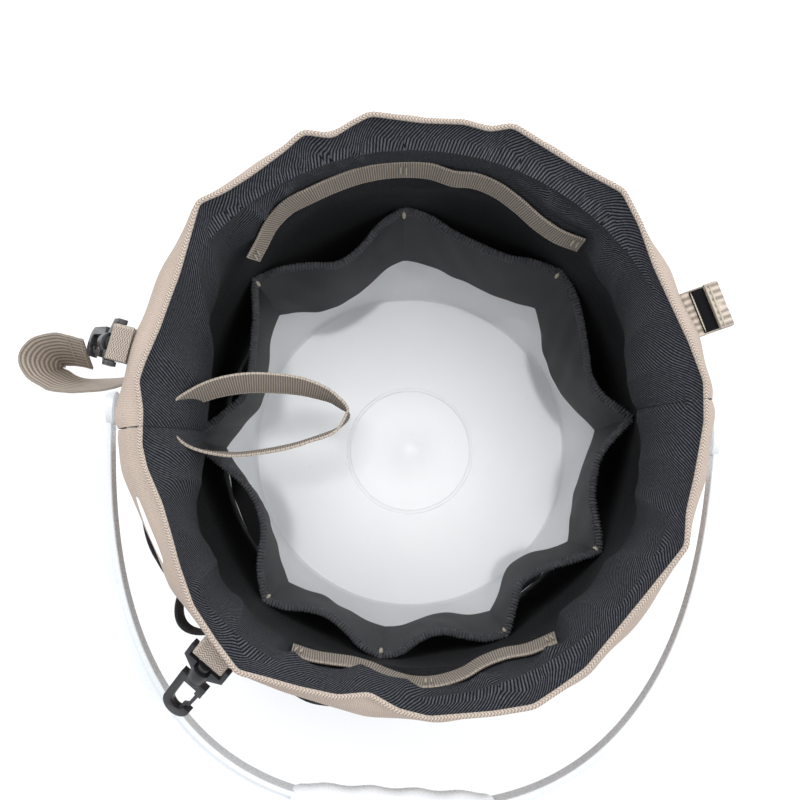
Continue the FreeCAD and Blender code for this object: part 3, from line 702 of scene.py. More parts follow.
def make_bail():
    path, out = bail_line(241)
    up = upright(path)
    web = [(-1.6, -5.0), (-1.1, -5.5), (1.1, -5.5), (1.6, -5.0), (1.6, -1.4), (4.9, -1.2), (5.4, -0.7),
           (5.4, 0.7), (4.9, 1.2), (1.6, 1.4), (1.6, 5.0), (1.1, 5.5), (-1.1, 5.5), (-1.6, 5.0)]
    parts = [sweep("bail_strap", path, out, up, np.array(web) * MM)]
    share = np.linspace(0, 1, len(path))
    wide = [(1.2, -1.5), (8.6, -1.4), (9.2, -0.9), (9.2, 0.9), (8.6, 1.4), (1.2, 1.5)]
    for low, high in ((0.045, 0.285), (0.715, 0.955)):
        chosen = (share > low) & (share < high)
        parts.append(sweep("bail_flange", path[chosen], out[chosen], up[chosen], np.array(wide) * MM))
    for side in (-1, 1):
        eye = [(0, 167.2), (8.6, 167.2), (9.5, 168.0), (9.5, 171.8), (8.7, 172.6), (6.2, 172.6), (5.6, 171.9),
               (0, 171.9)]
        parts.append(turned("bail_eye", np.array(eye) * MM, (0, 0, 0), (side, 0, 0), 40))
        pin = [(0, 152.9), (3.9, 152.9), (4.5, 153.6), (4.5, 169.0), (0, 169.0)]
        parts.append(turned("bail_pin", np.array(pin) * MM, (0, 0, 0), (side, 0, 0), 32))
    parts.append(make_grip())
    bail = join(parts, "moulded_bail")
    move_points(bail, bail_to_place(points_of(bail)))
    return done(bail, "bail", "bail", ["bail"], angle=35)


def make_grip():
    """The moulded grip: a rounded bar with finger hollows outside and low bumps inside."""
    bpy.ops.object.select_all(action="DESELECT")
    bpy.ops.mesh.primitive_cylinder_add(vertices=28, radius=1.0, depth=2.0, rotation=(0, math.pi / 2, 0))
    grip = bpy.context.object
    bpy.ops.object.transform_apply(location=False, rotation=True, scale=False)
    inset = 0.12

    def round_ends():
        bpy.ops.mesh.select_all(action="DESELECT")
        bpy.ops.mesh.select_face_by_sides(number=4, type="GREATER")
        bpy.ops.mesh.inset(thickness=inset)

    edit_all(grip, round_ends)
    cuts = 48
    for cut in range(1, cuts):
        place = -1 + 2 * cut / cuts

        def slice_here():
            bpy.ops.mesh.bisect(plane_co=(place, 0, 0), plane_no=(1, 0, 0))

        edit_all(grip, slice_here)
    points = points_of(grip)
    x, y, z = points.T
    end = np.clip((np.abs(x) - 0.9) / 0.1, 0, 1)
    taper = 1 - 0.28 * end**2
    finger = 0.5 + 0.5 * np.cos(x * GRIP_HALF / (26 * MM) * FULL_TURN)
    outer = np.clip(-y, 0, 1)
    inner = np.clip(y, 0, 1)
    squared = np.sign(y) * np.abs(y) ** 0.8
    depth = squared * 11.5 * MM * taper + outer * finger * 2.2 * MM * (1 - end) - inner * finger * 1.4 * MM
    height = np.sign(z) * np.abs(z) ** 0.8 * 7.5 * MM * taper
    move_points(grip, np.stack([x * GRIP_HALF, depth - BAIL_REACH, height], axis=1))
    edit_all(grip, merge, face_out)
    return grip


make_pail()
make_bail()

# ------------------------------------------------------------------ the rim's crumpled line
# Each row: angle, rim radius, rim height above the pattern's own rim, and how far the lining stands
# in from the pail's wall below the rim. Corners stand out and up.

RIM_LINE = [
    (7, 155.3, 0, 15), (15, 152.4, -1, 13), (25, 150.7, -1, 6), (32, 152, 0, 2), (40, 158.7, 1, 2),
    (47, 164.4, 3, 1), (55, 161.4, 0, 4), (65, 162.8, 0, 4), (71, 165.1, 3, 2), (75, 160.3, 0, 3),
    (80, 161.4, 0, 4), (88, 159.8, 0, 5), (98, 164.2, 3, 1), (102, 161.4, 0, 4), (106, 158, -2, 6),
    (111, 163.5, 3, 2), (116, 159.6, 0, 5), (124, 157.2, -1, 8), (130, 158.1, 0, 6), (135, 161.8, 3, 1),
    (140, 155, 1, 2), (148.5, 146.7, 0, 6), (155.5, 144, 0, 14), (160.5, 143.2, 0, 19),
    (168.5, 145.7, 0, 24), (172.5, 147, 0, 25), (178.5, 143.3, 0, 26), (186, 144.2, 0, 24),
    (191, 143, 0, 20), (199, 139.8, 0, 13), (205.5, 141.2, 0, 9), (212.5, 145.2, 0, 3),
    (220.5, 151.2, 0, 2), (228.5, 155.2, 0, 3), (235.5, 159.6, 3, 1), (240, 156, 0, 4), (247, 152.4, 0, 7),
    (255, 149.8, 0, 9), (261, 145.2, -1, 11), (267, 151.7, 0, 8), (273, 155.7, 0, 6), (285, 158.2, 0, 5),
    (292.5, 161.2, 3, 1), (299.5, 159.3, 0, 5), (304.5, 158.3, 0, 6), (311.5, 154.4, 0, 6),
    (321.5, 153, -1, 6), (329.5, 154.7, 0, 5), (334.5, 156.8, 3, 3), (341, 151.9, 0, 6), (348, 151.5, 0, 9),
    (359, 154, 0, 14),
]

# Angle and radius of the collar where it stands out furthest, over the pail's bead.
COLLAR_LINE = [
    (0, 162), (8, 161.5), (15, 160.5), (30, 161.5), (40, 164.5), (47, 169), (60, 167), (71, 168.5), (75, 165),
    (88, 165.5), (98, 168.5), (106, 163.5), (111, 167), (122, 164.5), (135, 166), (148, 160), (165, 157.8),
    (180, 160.5), (190, 158.5), (215, 157.5), (225, 158), (235, 162), (245, 159), (261, 158.5), (275, 160.5),
    (293, 164), (305, 162.5), (315, 160.5), (322, 160), (335, 161), (350, 160),
]

# Folds: angle at the top, angle at the foot, top height, foot height, how far they stand in, half width.
LINING_FOLDS = [
    (38, 26, 366, 285, 5, 4), (44, 36, 369, 300, 6, 2.6), (52, 47, 366, 318, 4, 3),
    (60, 54, 368, 318, 7, 2.6), (68, 62, 369, 326, 5, 2.0), (76, 68, 366, 318, 7, 2.8),
    (88, 80, 366, 326, 6, 3.2), (94, 90, 367, 336, 5, 2.4), (103, 97, 369, 330, 9, 2.2),
    (108, 101, 368, 322, 5, 2.0), (114, 105, 369, 316, 9, 2.4), (121, 111, 367, 316, 7, 2.8),
    (129, 118, 366, 306, 7, 3.2), (138, 152, 368, 300, 6, 2.6), (143, 168, 366, 300, 6, 3.4),
    (166, 174, 364, 310, 5, 3.4), (187, 190, 366, 316, 5, 3.0), (194, 197, 364, 312, 6, 2.8),
    (206, 214, 364, 306, 6, 3.6), (218, 214, 366, 306, 6, 3.0), (231, 224, 369, 312, 6, 2.4),
    (241, 247, 368, 316, 6, 2.8), (257, 259, 368, 332, 5, 2.6), (268, 270, 366, 330, 5, 3.0),
    (287, 282, 368, 326, 6, 2.8), (298, 306, 368, 310, 7, 2.8), (315, 310, 364, 306, 5, 3.6),
    (330, 322, 368, 300, 6, 2.8), (339, 344, 368, 300, 6, 2.6), (352, 349, 364, 300, 5, 3.6),
    (12, 10, 364, 300, 5, 3.6), (24, 16, 364, 290, 5, 3.6),
]

# Strip points: angle, distance in from the lining's flat face, depth below the rim.
BACK_STRIP = [
    (134, 12, 50), (130, 9, 48), (125, 4.5, 44), (120, 2.5, 40), (114, 3.2, 37), (108, 2.4, 36.5),
    (101, 1.2, 36), (92, 0.8, 36), (86, 1.6, 36), (80, 4, 37), (76, 2.6, 37.5), (70, 3.4, 39),
    (64.5, 6, 41), (57, 9, 44), (52, 8, 46), (46.5, 3, 47),
]
FRONT_STRIP = [
    (242, 2, 43), (247, 3.6, 44), (251, 5.4, 45), (255.6, 7, 45.5), (260, 6.4, 45.5),
    (265, 3.6, 44), (269.5, 1.4, 42), (273.5, 0.9, 41), (277, 1.4, 41.5), (281.5, 3, 43),
    (286.4, 6, 45), (291.4, 6.4, 45), (297, 3.4, 44), (303.7, 1.4, 42),
]

FINE_STEP = 0.25
# How fast the lining falls back above the middle of a strip, for each metre of height.
STRIP_OPENING = 0.2


def chord_line(rows, blur):
    """Radius round the rim along straight chords between the points, with softened corners."""
    angles = np.radians([row[0] for row in rows])
    corners = np.stack([np.cos(angles), np.sin(angles)], axis=1) * np.array([[row[1]] for row in rows])
    fine = np.arange(0, 360, FINE_STEP)
    turns = np.radians(fine)
    spot = np.searchsorted(angles, turns, side="right") - 1
    first = corners[spot]
    edge = corners[(spot + 1) % len(rows)] - first
    radius = (first[:, 0] * edge[:, 1] - first[:, 1] * edge[:, 0]) / (
        np.cos(turns) * edge[:, 1] - np.sin(turns) * edge[:, 0])
    return softened(fine, radius, blur)


def softened(fine, values, blur):
    reach = int(4 * blur / FINE_STEP) + 1
    kernel = np.exp(-0.5 * (np.arange(-reach, reach + 1) * FINE_STEP / blur) ** 2)
    padded = np.concatenate([values[-reach:], values, values[:reach]])
    smooth = np.convolve(padded, kernel / kernel.sum(), mode="valid")
    return lambda angle: np.interp(np.mod(angle, 360), fine, smooth, period=360)


def column_line(rows, column, blur):
    fine = np.arange(0, 360, FINE_STEP)
    values = np.interp(fine, [row[0] for row in rows], [row[column] for row in rows], period=360)
    return softened(fine, values, blur)


rim_radius = chord_line(RIM_LINE, 0.7)
rim_rise = column_line(RIM_LINE, 2, 1.0)
lining_stand = column_line(RIM_LINE, 3, 2.0)
collar_radius = chord_line(COLLAR_LINE, 1.2)


def ripple(angle, height, seed, scale):
    """Small uneven waves, the same each run."""
    random = np.random.default_rng(seed)
    total = 0 * angle
    for count in range(7):
        around = random.integers(5, 34)
        down = random.uniform(-60, 60)
        phase = random.uniform(0, FULL_TURN)
        total = total + np.sin(np.radians(angle) * around + height * down + phase) / (1 + 0.3 * count)
    return total * scale


def fold_stand(angle, height):
    """How far the folds push the lining in at a place, in metres."""
    total = 0 * angle
    for start, end, high, low, stand, half in LINING_FOLDS:
        share = np.clip((high * MM - height) / ((high - low) * MM), 0, 1)
        centre = start + (end - start) * share
        away = np.mod(angle - centre + 180, 360) - 180
        swell = np.sin(math.pi * np.clip(share * 0.9 + 0.1, 0, 1)) ** 0.8
        total = total + stand * MM * swell * np.exp(-np.abs(away / (half * (1 + share))) ** 1.25)
    return total


PROFILE_SHARES = (0.0, 0.09, 0.22, 0.42, 0.62, 1.0)


def lining_profile(angle, share):
    """Radius and height of the lining at a share of its depth below the rim."""
    rim = rim_radius(angle) * MM - 1.4 * MM
    rise = rim_rise(angle) * MM
    stand = lining_stand(angle) * MM
    low = 34 * MM + stand * 0.6
    heights = [RIM - 0.5 * MM + rise, RIM - 12 * MM - stand * 0.25 + rise * 0.5,
               RIM - low, RIM - low - 42 * MM, INNER_TOP + 3 * MM, LINING_LOW]
    shoulder = wall(heights[2]) - stand
    radii = [rim, 0.46 * rim + 0.54 * np.minimum(shoulder, rim), shoulder, wall(heights[3]) - stand * 0.35,
             wall(heights[4]) - 0.5 * MM + 0 * angle, wall(LINING_LOW) + 0 * angle]
    shares = np.array(PROFILE_SHARES)
    spot = np.clip(np.searchsorted(shares, share, side="right") - 1, 0, len(shares) - 2)
    gap = shares[spot + 1] - shares[spot]
    t = (share - shares[spot]) / gap
    index = np.arange(len(angle))

    def along_curve(rows):
        values = np.array([row + 0 * angle for row in rows])
        slopes = np.gradient(values, shares, axis=0)
        return (values[spot, index] * (2 * t**3 - 3 * t**2 + 1)
                + slopes[spot, index] * gap * (t**3 - 2 * t**2 + t)
                + values[spot + 1, index] * (3 * t**2 - 2 * t**3)
                + slopes[spot + 1, index] * gap * (t**3 - t**2))

    return along_curve(radii), along_curve(heights)


def seam_pull(angle):
    """How near an angle is to a side seam, from 1 at the seam to 0."""
    near = np.minimum(np.abs(np.mod(angle - SEAM_LEFT + 180, 360) - 180),
                      np.abs(np.mod(angle - SEAM_RIGHT + 180, 360) - 180))
    return np.exp(-(near / 1.3) ** 2)


def behind_strip(rows, angle, height, radius):
    """Keep the lining clear of the webbing strips sewn on it."""
    rows = sorted(rows)
    angles = [row[0] for row in rows]
    inward = np.interp(angle, angles, [row[1] for row in rows]) * MM
    middle = np.interp(angle, angles, [row[2] for row in rows]) * MM
    beside = np.clip(1.0 - np.maximum(angles[0] - angle, angle - angles[-1]) / 4.0, 0, 1)
    away = np.abs(RIM - middle - height)
    share = beside * np.clip((26 * MM - away) / (12 * MM), 0, 1)
    opening = np.clip(height - RIM + middle, 0, 1) * STRIP_OPENING
    limit = wall(height) - np.maximum(inward - 1.6 * MM, 0.4 * MM) + opening
    return radius + share * (np.maximum(radius, limit) - radius)


def lining_point(angle, share):
    radius, height = lining_profile(angle, share)
    fade = np.clip(share / 0.05, 0, 1) * np.clip((0.62 - share) / 0.1, 0, 1)
    radius = radius - fold_stand(angle, height) * fade
    radius = radius + ripple(angle, height, 11, 0.35 * MM) * fade
    radius = radius + seam_pull(angle) * 1.6 * MM * fade
    for rows in (BACK_STRIP, FRONT_STRIP):
        radius = behind_strip(rows, angle, height, radius)
    top = wall(np.minimum(height, PAIL_HEIGHT))
    radius = np.where(height < PAIL_HEIGHT + 1 * MM, np.minimum(radius, top), radius)
    return polar(radius, angle, height)


def half_angles(front):
    gap = math.degrees(SEAM / SKIRT)
    if front:
        return SEAM_LEFT + gap, SEAM_RIGHT + 360 - gap
    return SEAM_RIGHT + gap, SEAM_LEFT - gap


HALF_LENGTH = {True: 490 * MM, False: 485 * MM}
LINING_LENGTH = 238 * MM


def make_lining(front):
    side = "front" if front else "back"
    start, end = half_angles(front)

    def place(along, across):
        return lining_point(start + (end - start) * along, 1 - across)

    size = (HALF_LENGTH[front], LINING_LENGTH)
    piece = lay_grid("lining_cloth_" + side, 420, 110, place, size)
    even_weave(piece, start, end)
    aim_sheet(piece, inward=True)
    thicken(piece, LINING_CLOTH, -1)
    done(piece, "lining", replaced=["lining_" + side], angle=60)
    return piece


def even_weave(piece, start, end):
    """Space the lining's UV rows by their distance down the cloth."""
    shares = np.linspace(0, 1, 240)
    angles = np.linspace(start, end, 24)
    total = 0 * shares
    for angle in angles:
        radius, height = lining_profile(angle + 0 * shares, shares)
        total[1:] += np.cumsum(np.hypot(np.diff(radius), np.diff(height)))
    travel = total / total[-1] * LINING_LENGTH
    flat = np.empty(len(piece.data.loops) * 2)
    layer = piece.data.uv_layers.active.data
    layer.foreach_get("uv", flat)
    flat = flat.reshape(-1, 2)
    flat[:, 1] = LINING_LENGTH - np.interp(1 - flat[:, 1] / LINING_LENGTH, shares, travel)
    layer.foreach_set("uv", flat.ravel())


def aim_sheet(piece, inward):
    """Turn an open sheet's faces towards the pail's axis, or away from it."""
    total = 0.0
    for face in piece.data.polygons:
        total += face.area * (face.normal.x * face.center.x + face.normal.y * face.center.y)
    if (total < 0) != inward:
        edit_all(piece, bpy.ops.mesh.flip_normals)


SKIRT_SHARES = (0.0, 0.03, 0.07, 0.14, 0.2, 1.0)
SLIT_HALF = 6.5


def skirt_swell(angle, height):
    """How far the skirt stands off where it hangs free."""
    return np.abs(ripple(angle, height * 0.3, 5, 0.5 * MM))


def skirt_point(angle, share):
    rim = rim_radius(angle) * MM
    rise = rim_rise(angle) * MM
    collar = collar_radius(angle) * MM
    heights = [RIM - 0.4 * MM + rise, RIM - 5 * MM + rise * 0.6, RIM - 14 * MM, RIM - 34 * MM, RIM - 50 * MM,
               SKIRT_LOW]
    radii = [rim + 0.6 * MM, 0.5 * rim + 0.5 * collar + 0.6 * MM, collar,
             0.45 * collar + 0.55 * (SKIRT + 1.2 * MM), SKIRT + 1.2 * MM, SKIRT + 1.0 * MM]
    shares = np.array(SKIRT_SHARES)
    radius = 0 * angle
    height = 0 * angle
    for row in range(len(shares) - 1):
        inside = (share >= shares[row]) & ((share < shares[row + 1]) | (row == len(shares) - 2))
        t = np.clip((share - shares[row]) / (shares[row + 1] - shares[row]), 0, 1)
        radius = np.where(inside, radii[row] * (1 - t) + radii[row + 1] * t, radius)
        height = np.where(inside, heights[row] * (1 - t) + heights[row + 1] * t, height)
    fade = np.clip(share / 0.04, 0, 1)
    low = np.clip((share - 0.15) / 0.3, 0, 1)
    radius = radius + ripple(angle, height, 23, 0.35 * MM) * fade * (1 - low)
    radius = radius + skirt_swell(angle, height) * low
    radius = radius - seam_pull(angle) * 1.2 * MM * fade
    return polar(radius, angle, height)


def make_skirt(front):
    side = "front" if front else "back"
    start, end = half_angles(front)

    def place(along, across):
        return skirt_point(start + (end - start) * along, 1 - across)

    size = (HALF_LENGTH[front], RIM - SKIRT_LOW + 4 * MM)
    piece = lay_grid("skirt_cloth_" + side, 360, 150, place, size)
    smooth_rows(piece)
    cut_slits(piece, front)
    aim_sheet(piece, inward=False)
    thicken(piece, SKIRT_CLOTH, -1)
    done(piece, "tan", replaced=["outer_skirt_" + side], angle=60)
    return piece


def smooth_rows(piece):
    """Relax the angles where the collar's flat stretches meet."""
    pick(piece)
    relax = piece.modifiers.new("relax", "SMOOTH")
    relax.factor = 0.5
    relax.iterations = 3
    bpy.ops.object.modifier_apply(modifier=relax.name)


def skirt_span(front):
    """The angles that a half covers below the collar, clear of the slits at the ears."""
    left = 180 + EAR_TURN
    right = 360 + EAR_TURN
    if front:
        return left + SLIT_HALF, right - SLIT_HALF
    return SEAM_RIGHT + 0.1, left - SLIT_HALF


def cut_slits(piece, front):
    """Take out the cloth below the collar beside the ears."""
    first, last = skirt_span(front)
    low = RIM - 36 * MM
    edit_all(piece, lambda: bpy.ops.mesh.select_mode(type="FACE"),
             lambda: bpy.ops.mesh.select_all(action="DESELECT"))
    for face in piece.data.polygons:
        angle = math.degrees(math.atan2(face.center.y, face.center.x)) % 360
        if front and angle < 90:
            angle += 360
        face.select = face.center.z < low and not first < angle < last
    pick(piece)
    bpy.ops.object.mode_set(mode="EDIT")
    bpy.ops.mesh.delete(type="FACE")
    bpy.ops.mesh.select_mode(type="VERT")
    bpy.ops.object.mode_set(mode="OBJECT")


def make_braid(front):
    """The rim's turned edge, a soft roll over the join of skirt and lining."""
    side = "front" if front else "back"
    start, end = half_angles(front)
    angle = np.linspace(start, end, 700)
    radius = rim_radius(angle) * MM - 0.4 * MM
    centres = polar(radius, angle, RIM + 0.6 * MM + rim_rise(angle) * MM)
    outs, ups = frame_of(centres, upright(centres))
    section = oval_section(1.5 * MM, 1.9 * MM, 12)
    piece = sweep("rim_braid_" + side + "_cord", centres, outs, ups, section)
    return done(piece, "braid", replaced=["rim_braid_" + side], angle=60)


def band_section(low, high, inner, outer, rounding=0.4 * MM):
    """A closed section between two heights and two radii offsets, with rounded corners."""
    return [(inner, low + rounding), (inner + rounding, low),
            (outer - rounding, low), (outer, low + rounding),
            (outer, high - rounding), (outer - rounding, high),
            (inner + rounding, high), (inner, high - rounding)]


def ring_band(name, radius, angles, section):
    """A band round the pail at a radius that may change with the angle."""
    centres = polar(radius, angles, 0.0)
    outs = polar(1.0 + 0 * radius, angles, 0.0)
    ups = upright(centres)
    return sweep(name, centres, outs, ups, section)


def make_hem(front):
    side = "front" if front else "back"
    start, end = skirt_span(front)
    angles = np.linspace(start, end, 260)
    radius = SKIRT + 0.2 * MM + skirt_swell(angles, SKIRT_LOW)
    section = band_section(SKIRT_LOW - 1.7 * MM, SKIRT_LOW + 7 * MM, -1.2 * MM, 1.9 * MM)
    piece = ring_band("skirt_hem_" + side + "_tape", radius, angles, section)
    return done(piece, "binding", replaced=["skirt_hem_" + side], angle=50)


# ------------------------------------------------------------------ inner pockets
# Each pocket: start and end angle, then how far its top and its foot stand in from the lining
# at a seventh, a third, half, two thirds and six sevenths of its width.

POCKET_SHARES = (0.0, 0.15, 0.3, 0.5, 0.7, 0.85, 1.0)
BACK_POCKETS = [
    (3.5, 47, (15, 20, 16, 9, 3), (11, 18, 20, 17, 9)),
    (47, 92, (5, 11, 12, 9, 3), (7, 10, 10, 7, 3)),
    (92, 136, (7, 17, 21, 12, 5), (6, 15, 20, 19, 11)),
    (136, 182, (14, 22, 29, 29, 18), (6, 14, 21, 20, 11)),
]
FRONT_POCKETS = [
    (182, 229, (16, 27, 31, 25, 11), (8, 14, 18, 14, 8)),
    (229, 262, (4, 10, 13, 9, 3), (3, 6, 6, 4, 1.5)),
    (262, 295, (3, 10, 13, 7, 2), (2, 6, 9, 6, 2)),
    (295, 327.5, (12, 21, 21, 15, 8), (8, 17, 20, 15, 7)),
    (327.5, 363.5, (8, 16, 20, 19, 12), (5, 9, 10, 8, 4)),
]
TACK_STAND = 2.6 * MM
# Where the top edge is drawn up: angle and millimetres, and the half width in degrees.
TOP_RISES = ((92, 11), (262, 9))
RISE_HALF = 11


def pocket_stand(pockets, angle, low_share):
    """How far the pocket cloth stands in: 0 is the top edge and 1 the foot."""
    total = 0 * angle
    for start, end, top, foot in pockets:
        inside = (angle >= start) & (angle <= end)
        share = np.clip((angle - start) / (end - start), 0, 1)
        high = through(POCKET_SHARES, (0, *top, 0), share)
        low = through(POCKET_SHARES, (0, *foot, 0), share)
        mix = np.clip(low_share, 0, 1)
        total = np.where(inside, high * (1 - mix) + low * mix, total)
    return np.maximum(total, 0) * MM


def pocket_top(pockets, angle):
    """The top edge dips in the middle of each pocket and is drawn up at two seams."""
    dip = 0 * angle
    for start, end, top, _ in pockets:
        inside = (angle >= start) & (angle <= end)
        share = np.clip((angle - start) / (end - start), 0, 1)
        dip = np.where(inside, np.sin(math.pi * share) * (1.0 + max(top) * 0.12), dip)
    for middle, rise in TOP_RISES:
        dip = dip - rise * np.exp(-(np.abs(angle - middle) / RISE_HALF) ** 1.3)
    return INNER_TOP - dip * MM


def pocket_point(pockets, angle, share):
    """Rows run from the top edge down the cloth and, in the last tenth, back to the lining."""
    fall = np.clip(share / 0.9, 0, 1)
    back = np.clip((share - 0.9) / 0.1, 0, 1)
    high = pocket_top(pockets, angle)
    height = high + (INNER_LOW - high) * fall
    stand = pocket_stand(pockets, angle, fall)
    belly = np.sin(math.pi * fall) * 0.07 * stand
    crease = ripple(angle * 1.4, height * 1.5, 31, 0.22 * MM) * np.clip(stand / (6 * MM), 0, 1)
    radius = wall(height) - 1.7 * MM - (stand + belly) * (1 - back) + crease
    return polar(radius, angle, height)


def seam_angles(pockets, steps):
    """Angles across all pockets, closer together at the dividing seams."""
    angles = []
    for start, end, *_ in pockets:
        share = np.linspace(0, 1, steps, endpoint=False)
        angles.append(start + (end - start) * (share - 0.09 * np.sin(FULL_TURN * share)))
    angles.append([pockets[-1][1]])
    return np.concatenate(angles)


def make_inner_pockets(front):
    side = "front" if front else "back"
    pockets = FRONT_POCKETS if front else BACK_POCKETS
    angles = seam_angles(pockets, 84)
    columns = len(angles) - 1
    length = length_of(pocket_point(pockets, angles, 0 * angles))

    def place(along, across):
        return pocket_point(pockets, angles[np.rint(along * columns).astype(int)], 1 - across)

    size = (length, INNER_TOP - INNER_LOW + 12 * MM)
    piece = lay_grid("inner_pockets_" + side, columns, 60, place, size)
    aim_sheet(piece, inward=True)
    thicken(piece, POCKET_CLOTH, -1)
    done(piece, "grey", replaced=["inner_pocket_band_" + side], angle=60)
    make_overlock(side, pockets)
    return piece


def make_overlock(side, pockets):
    """Thread wrapped over the pockets' top edge, one ridge for each stitch."""
    angles = seam_angles(pockets, 420)
    stand = pocket_stand(pockets, angles, 0 * angles)
    height = pocket_top(pockets, angles)
    centres = polar(wall(height) - 2.2 * MM - stand, angles, height - 1.2 * MM)
    run = run_along(centres)
    pitch = 2.0 * MM
    count = int(run[-1] / pitch * 6)
    even = np.linspace(0, run[-1], count)
    centres = np.stack([np.interp(even, run, centres[:, axis]) for axis in range(3)], axis=1)
    outs, ups = frame_of(centres, upright(centres))
    section = oval_section(2.1 * MM, 3.0 * MM, 10, 0.7)
    piece = sweep("inner_pocket_overlock_" + side, centres, outs, ups, section)
    points = points_of(piece)
    nearest = nearest_run(points, centres, even)
    lift = 1.0 + 0.3 * np.sin(nearest / pitch * FULL_TURN)
    middle = np.stack([np.interp(nearest, even, centres[:, axis]) for axis in range(3)], axis=1)
    move_points(piece, middle + (points - middle) * lift[:, None])
    return done(piece, "overlock", replaced=["inner_pocket_edge_" + side], angle=60)


def nearest_run(points, centres, even):
    """The distance along a line of centres that each point of a sweep belongs to."""
    run = np.empty(len(points))
    block = 4000
    for start in range(0, len(points), block):
        away = np.linalg.norm(points[start:start + block, None, :] - centres[None, ::2, :], axis=2)
        run[start:start + block] = even[::2][away.argmin(axis=1)]
    return run


def stitch_bar(name, centre, along, out, length, width, ridges, thickness=1.6 * MM):
    """A bartack: a short bar of satin stitches."""
    steps = ridges * 6
    share = np.linspace(0, 1, steps + 1)
    centres = centre + np.outer((share - 0.5) * length, along)
    ups = np.zeros_like(centres) + np.cross(along, out)
    outs = np.zeros_like(centres) + out
    bar = sweep(name, centres, outs, ups, oval_section(thickness / 2, width / 2, 10))
    points = points_of(bar)
    run = (points - centre) @ along
    swell = 0.86 + 0.14 * np.sin(run / length * ridges * FULL_TURN)
    ends = np.sqrt(np.clip(1.02 - (2 * run / length) ** 4, 0.05, 1))
    base = centre + np.outer(run, along)
    move_points(bar, base + (points - base) * (swell * ends)[:, None])
    return bar


def make_bartacks():
    bars = []
    for pocket in BACK_POCKETS[1:] + FRONT_POCKETS[1:]:
        angle = pocket[0]
        out = polar(1.0, np.array([angle]), 0.0)[0]
        radius = wall(INNER_TOP) - 1.9 * MM - TACK_STAND
        pockets = FRONT_POCKETS if angle > 180 else BACK_POCKETS
        top = pocket_top(pockets, np.array([float(angle)]))[0]
        centre = polar(radius, np.array([angle]), top - 2.5 * MM)[0]
        bars.append(stitch_bar("tack", centre, np.array([0, 0, 1.0]), out, 9 * MM, 2.4 * MM, 9, 3.6 * MM))
    piece = join(bars, "bartacks")
    return done(piece, "tack", replaced=["inner_bartacks"], angle=60)


for is_front in (True, False):
    make_skirt(is_front)
    make_lining(is_front)
    make_braid(is_front)
    make_hem(is_front)
    make_inner_pockets(is_front)
make_bartacks()

# ------------------------------------------------------------------ loop strips and hanging loop

STRIP_WIDTH = 19 * MM
STRIP_LEAN = 0.15


def make_strip(name, rows, node):
    points = []
    widths = []
    for angle, inward, drop in rows:
        height = RIM - drop * MM
        at = np.array([float(angle)])
        points.append(polar(wall(height) - inward * MM, at, height)[0])
        lean = polar(STRIP_LEAN, at, 1.0)[0]
        widths.append(lean)
    strip = ribbon(name, points, widths, STRIP_WIDTH, WEB, 240)
    parts = [strip]
    for index, beside, shifts in ((0, 1, (2, 5)), (7, 8, (-1.6, 1.6)), (-1, -2, (2, 5))):
        out = unit(np.array([points[index] * (1, 1, 0)]))[0] * -1
        centre = points[index] + out * 1.0 * MM
        side = unit(np.array([points[beside] - points[index]]))[0]
        for shift in np.array(shifts) * MM:
            parts.append(stitch_bar("tack", centre + side * shift, np.array([0, 0, 1.0]), out, 15 * MM,
                                    1.0 * MM, 12))
    bars = join(parts[1:], name + "_stitches")
    done(bars, "tack", angle=60)
    return done(strip, "webbing", replaced=[node], angle=50)


make_strip("tool_loop_strip_back", BACK_STRIP, "inner_loop_strip_back")
make_strip("tool_loop_strip_front", FRONT_STRIP, "inner_loop_strip_front")

# Loop points: x, y and depth below the rim, then the lean of the webbing's width.
LOOP_POINTS = [(-140, 0.5, 27, 0.0), (-134, 4, 28, 0.2), (-125, 11, 30, 0.25), (-113, 17, 32, 0.35),
               (-96, 21, 33, 0.42), (-77, 21.5, 35, 0.42), (-57, 18.5, 36, 0.36), (-43, 12.5, 37, 0.22),
               (-36, 5, 38, 0.1), (-40, -2, 38, -0.1), (-58, -10.5, 37, -0.15), (-80, -16, 36, -0.15),
               (-104, -18, 34, -0.1), (-122, -14, 31, 0.0), (-132, -6, 29, 0.0), (-140, -1.5, 28, 0.0)]


def make_hanging_loop():
    points = [(x * MM, y * MM, RIM - drop * MM) for x, y, drop, lean in LOOP_POINTS]
    widths = [(0, lean, 1) for x, y, drop, lean in LOOP_POINTS]
    piece = ribbon("hanging_webbing_loop", points, widths, 21 * MM, WEB, 260)
    return done(piece, "webbing", "hanging_loop", ["hanging_loop"], angle=50)


make_hanging_loop()

# ------------------------------------------------------------------ outer pockets

CLOTH = 1.4 * MM
OUTER_BULGE = 17 * MM
OUTER_COUNT = 4
SMALL_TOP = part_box("small_pocket_front_left")[1][2]
SMALL_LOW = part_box("small_pocket_front_left")[0][2]
SMALL_BULGE = 8 * MM
SMALL_SHARE = 0.6


def outer_divisions(front):
    start, end = skirt_span(front)
    margin = math.degrees(4 * MM / SKIRT)
    return np.linspace(start + margin, end - margin, OUTER_COUNT + 1)


def skirt_face(angle):
    return SKIRT + 1.5 * MM + skirt_swell(angle, SKIRT_LOW)


def outer_stand(divisions, angle):
    step = divisions[1] - divisions[0]
    share = np.clip((angle - divisions[0]) / step, 0, OUTER_COUNT)
    inside = share - np.floor(np.minimum(share, OUTER_COUNT - 1e-9))
    return OUTER_BULGE * np.abs(np.sin(math.pi * inside)) ** 0.8


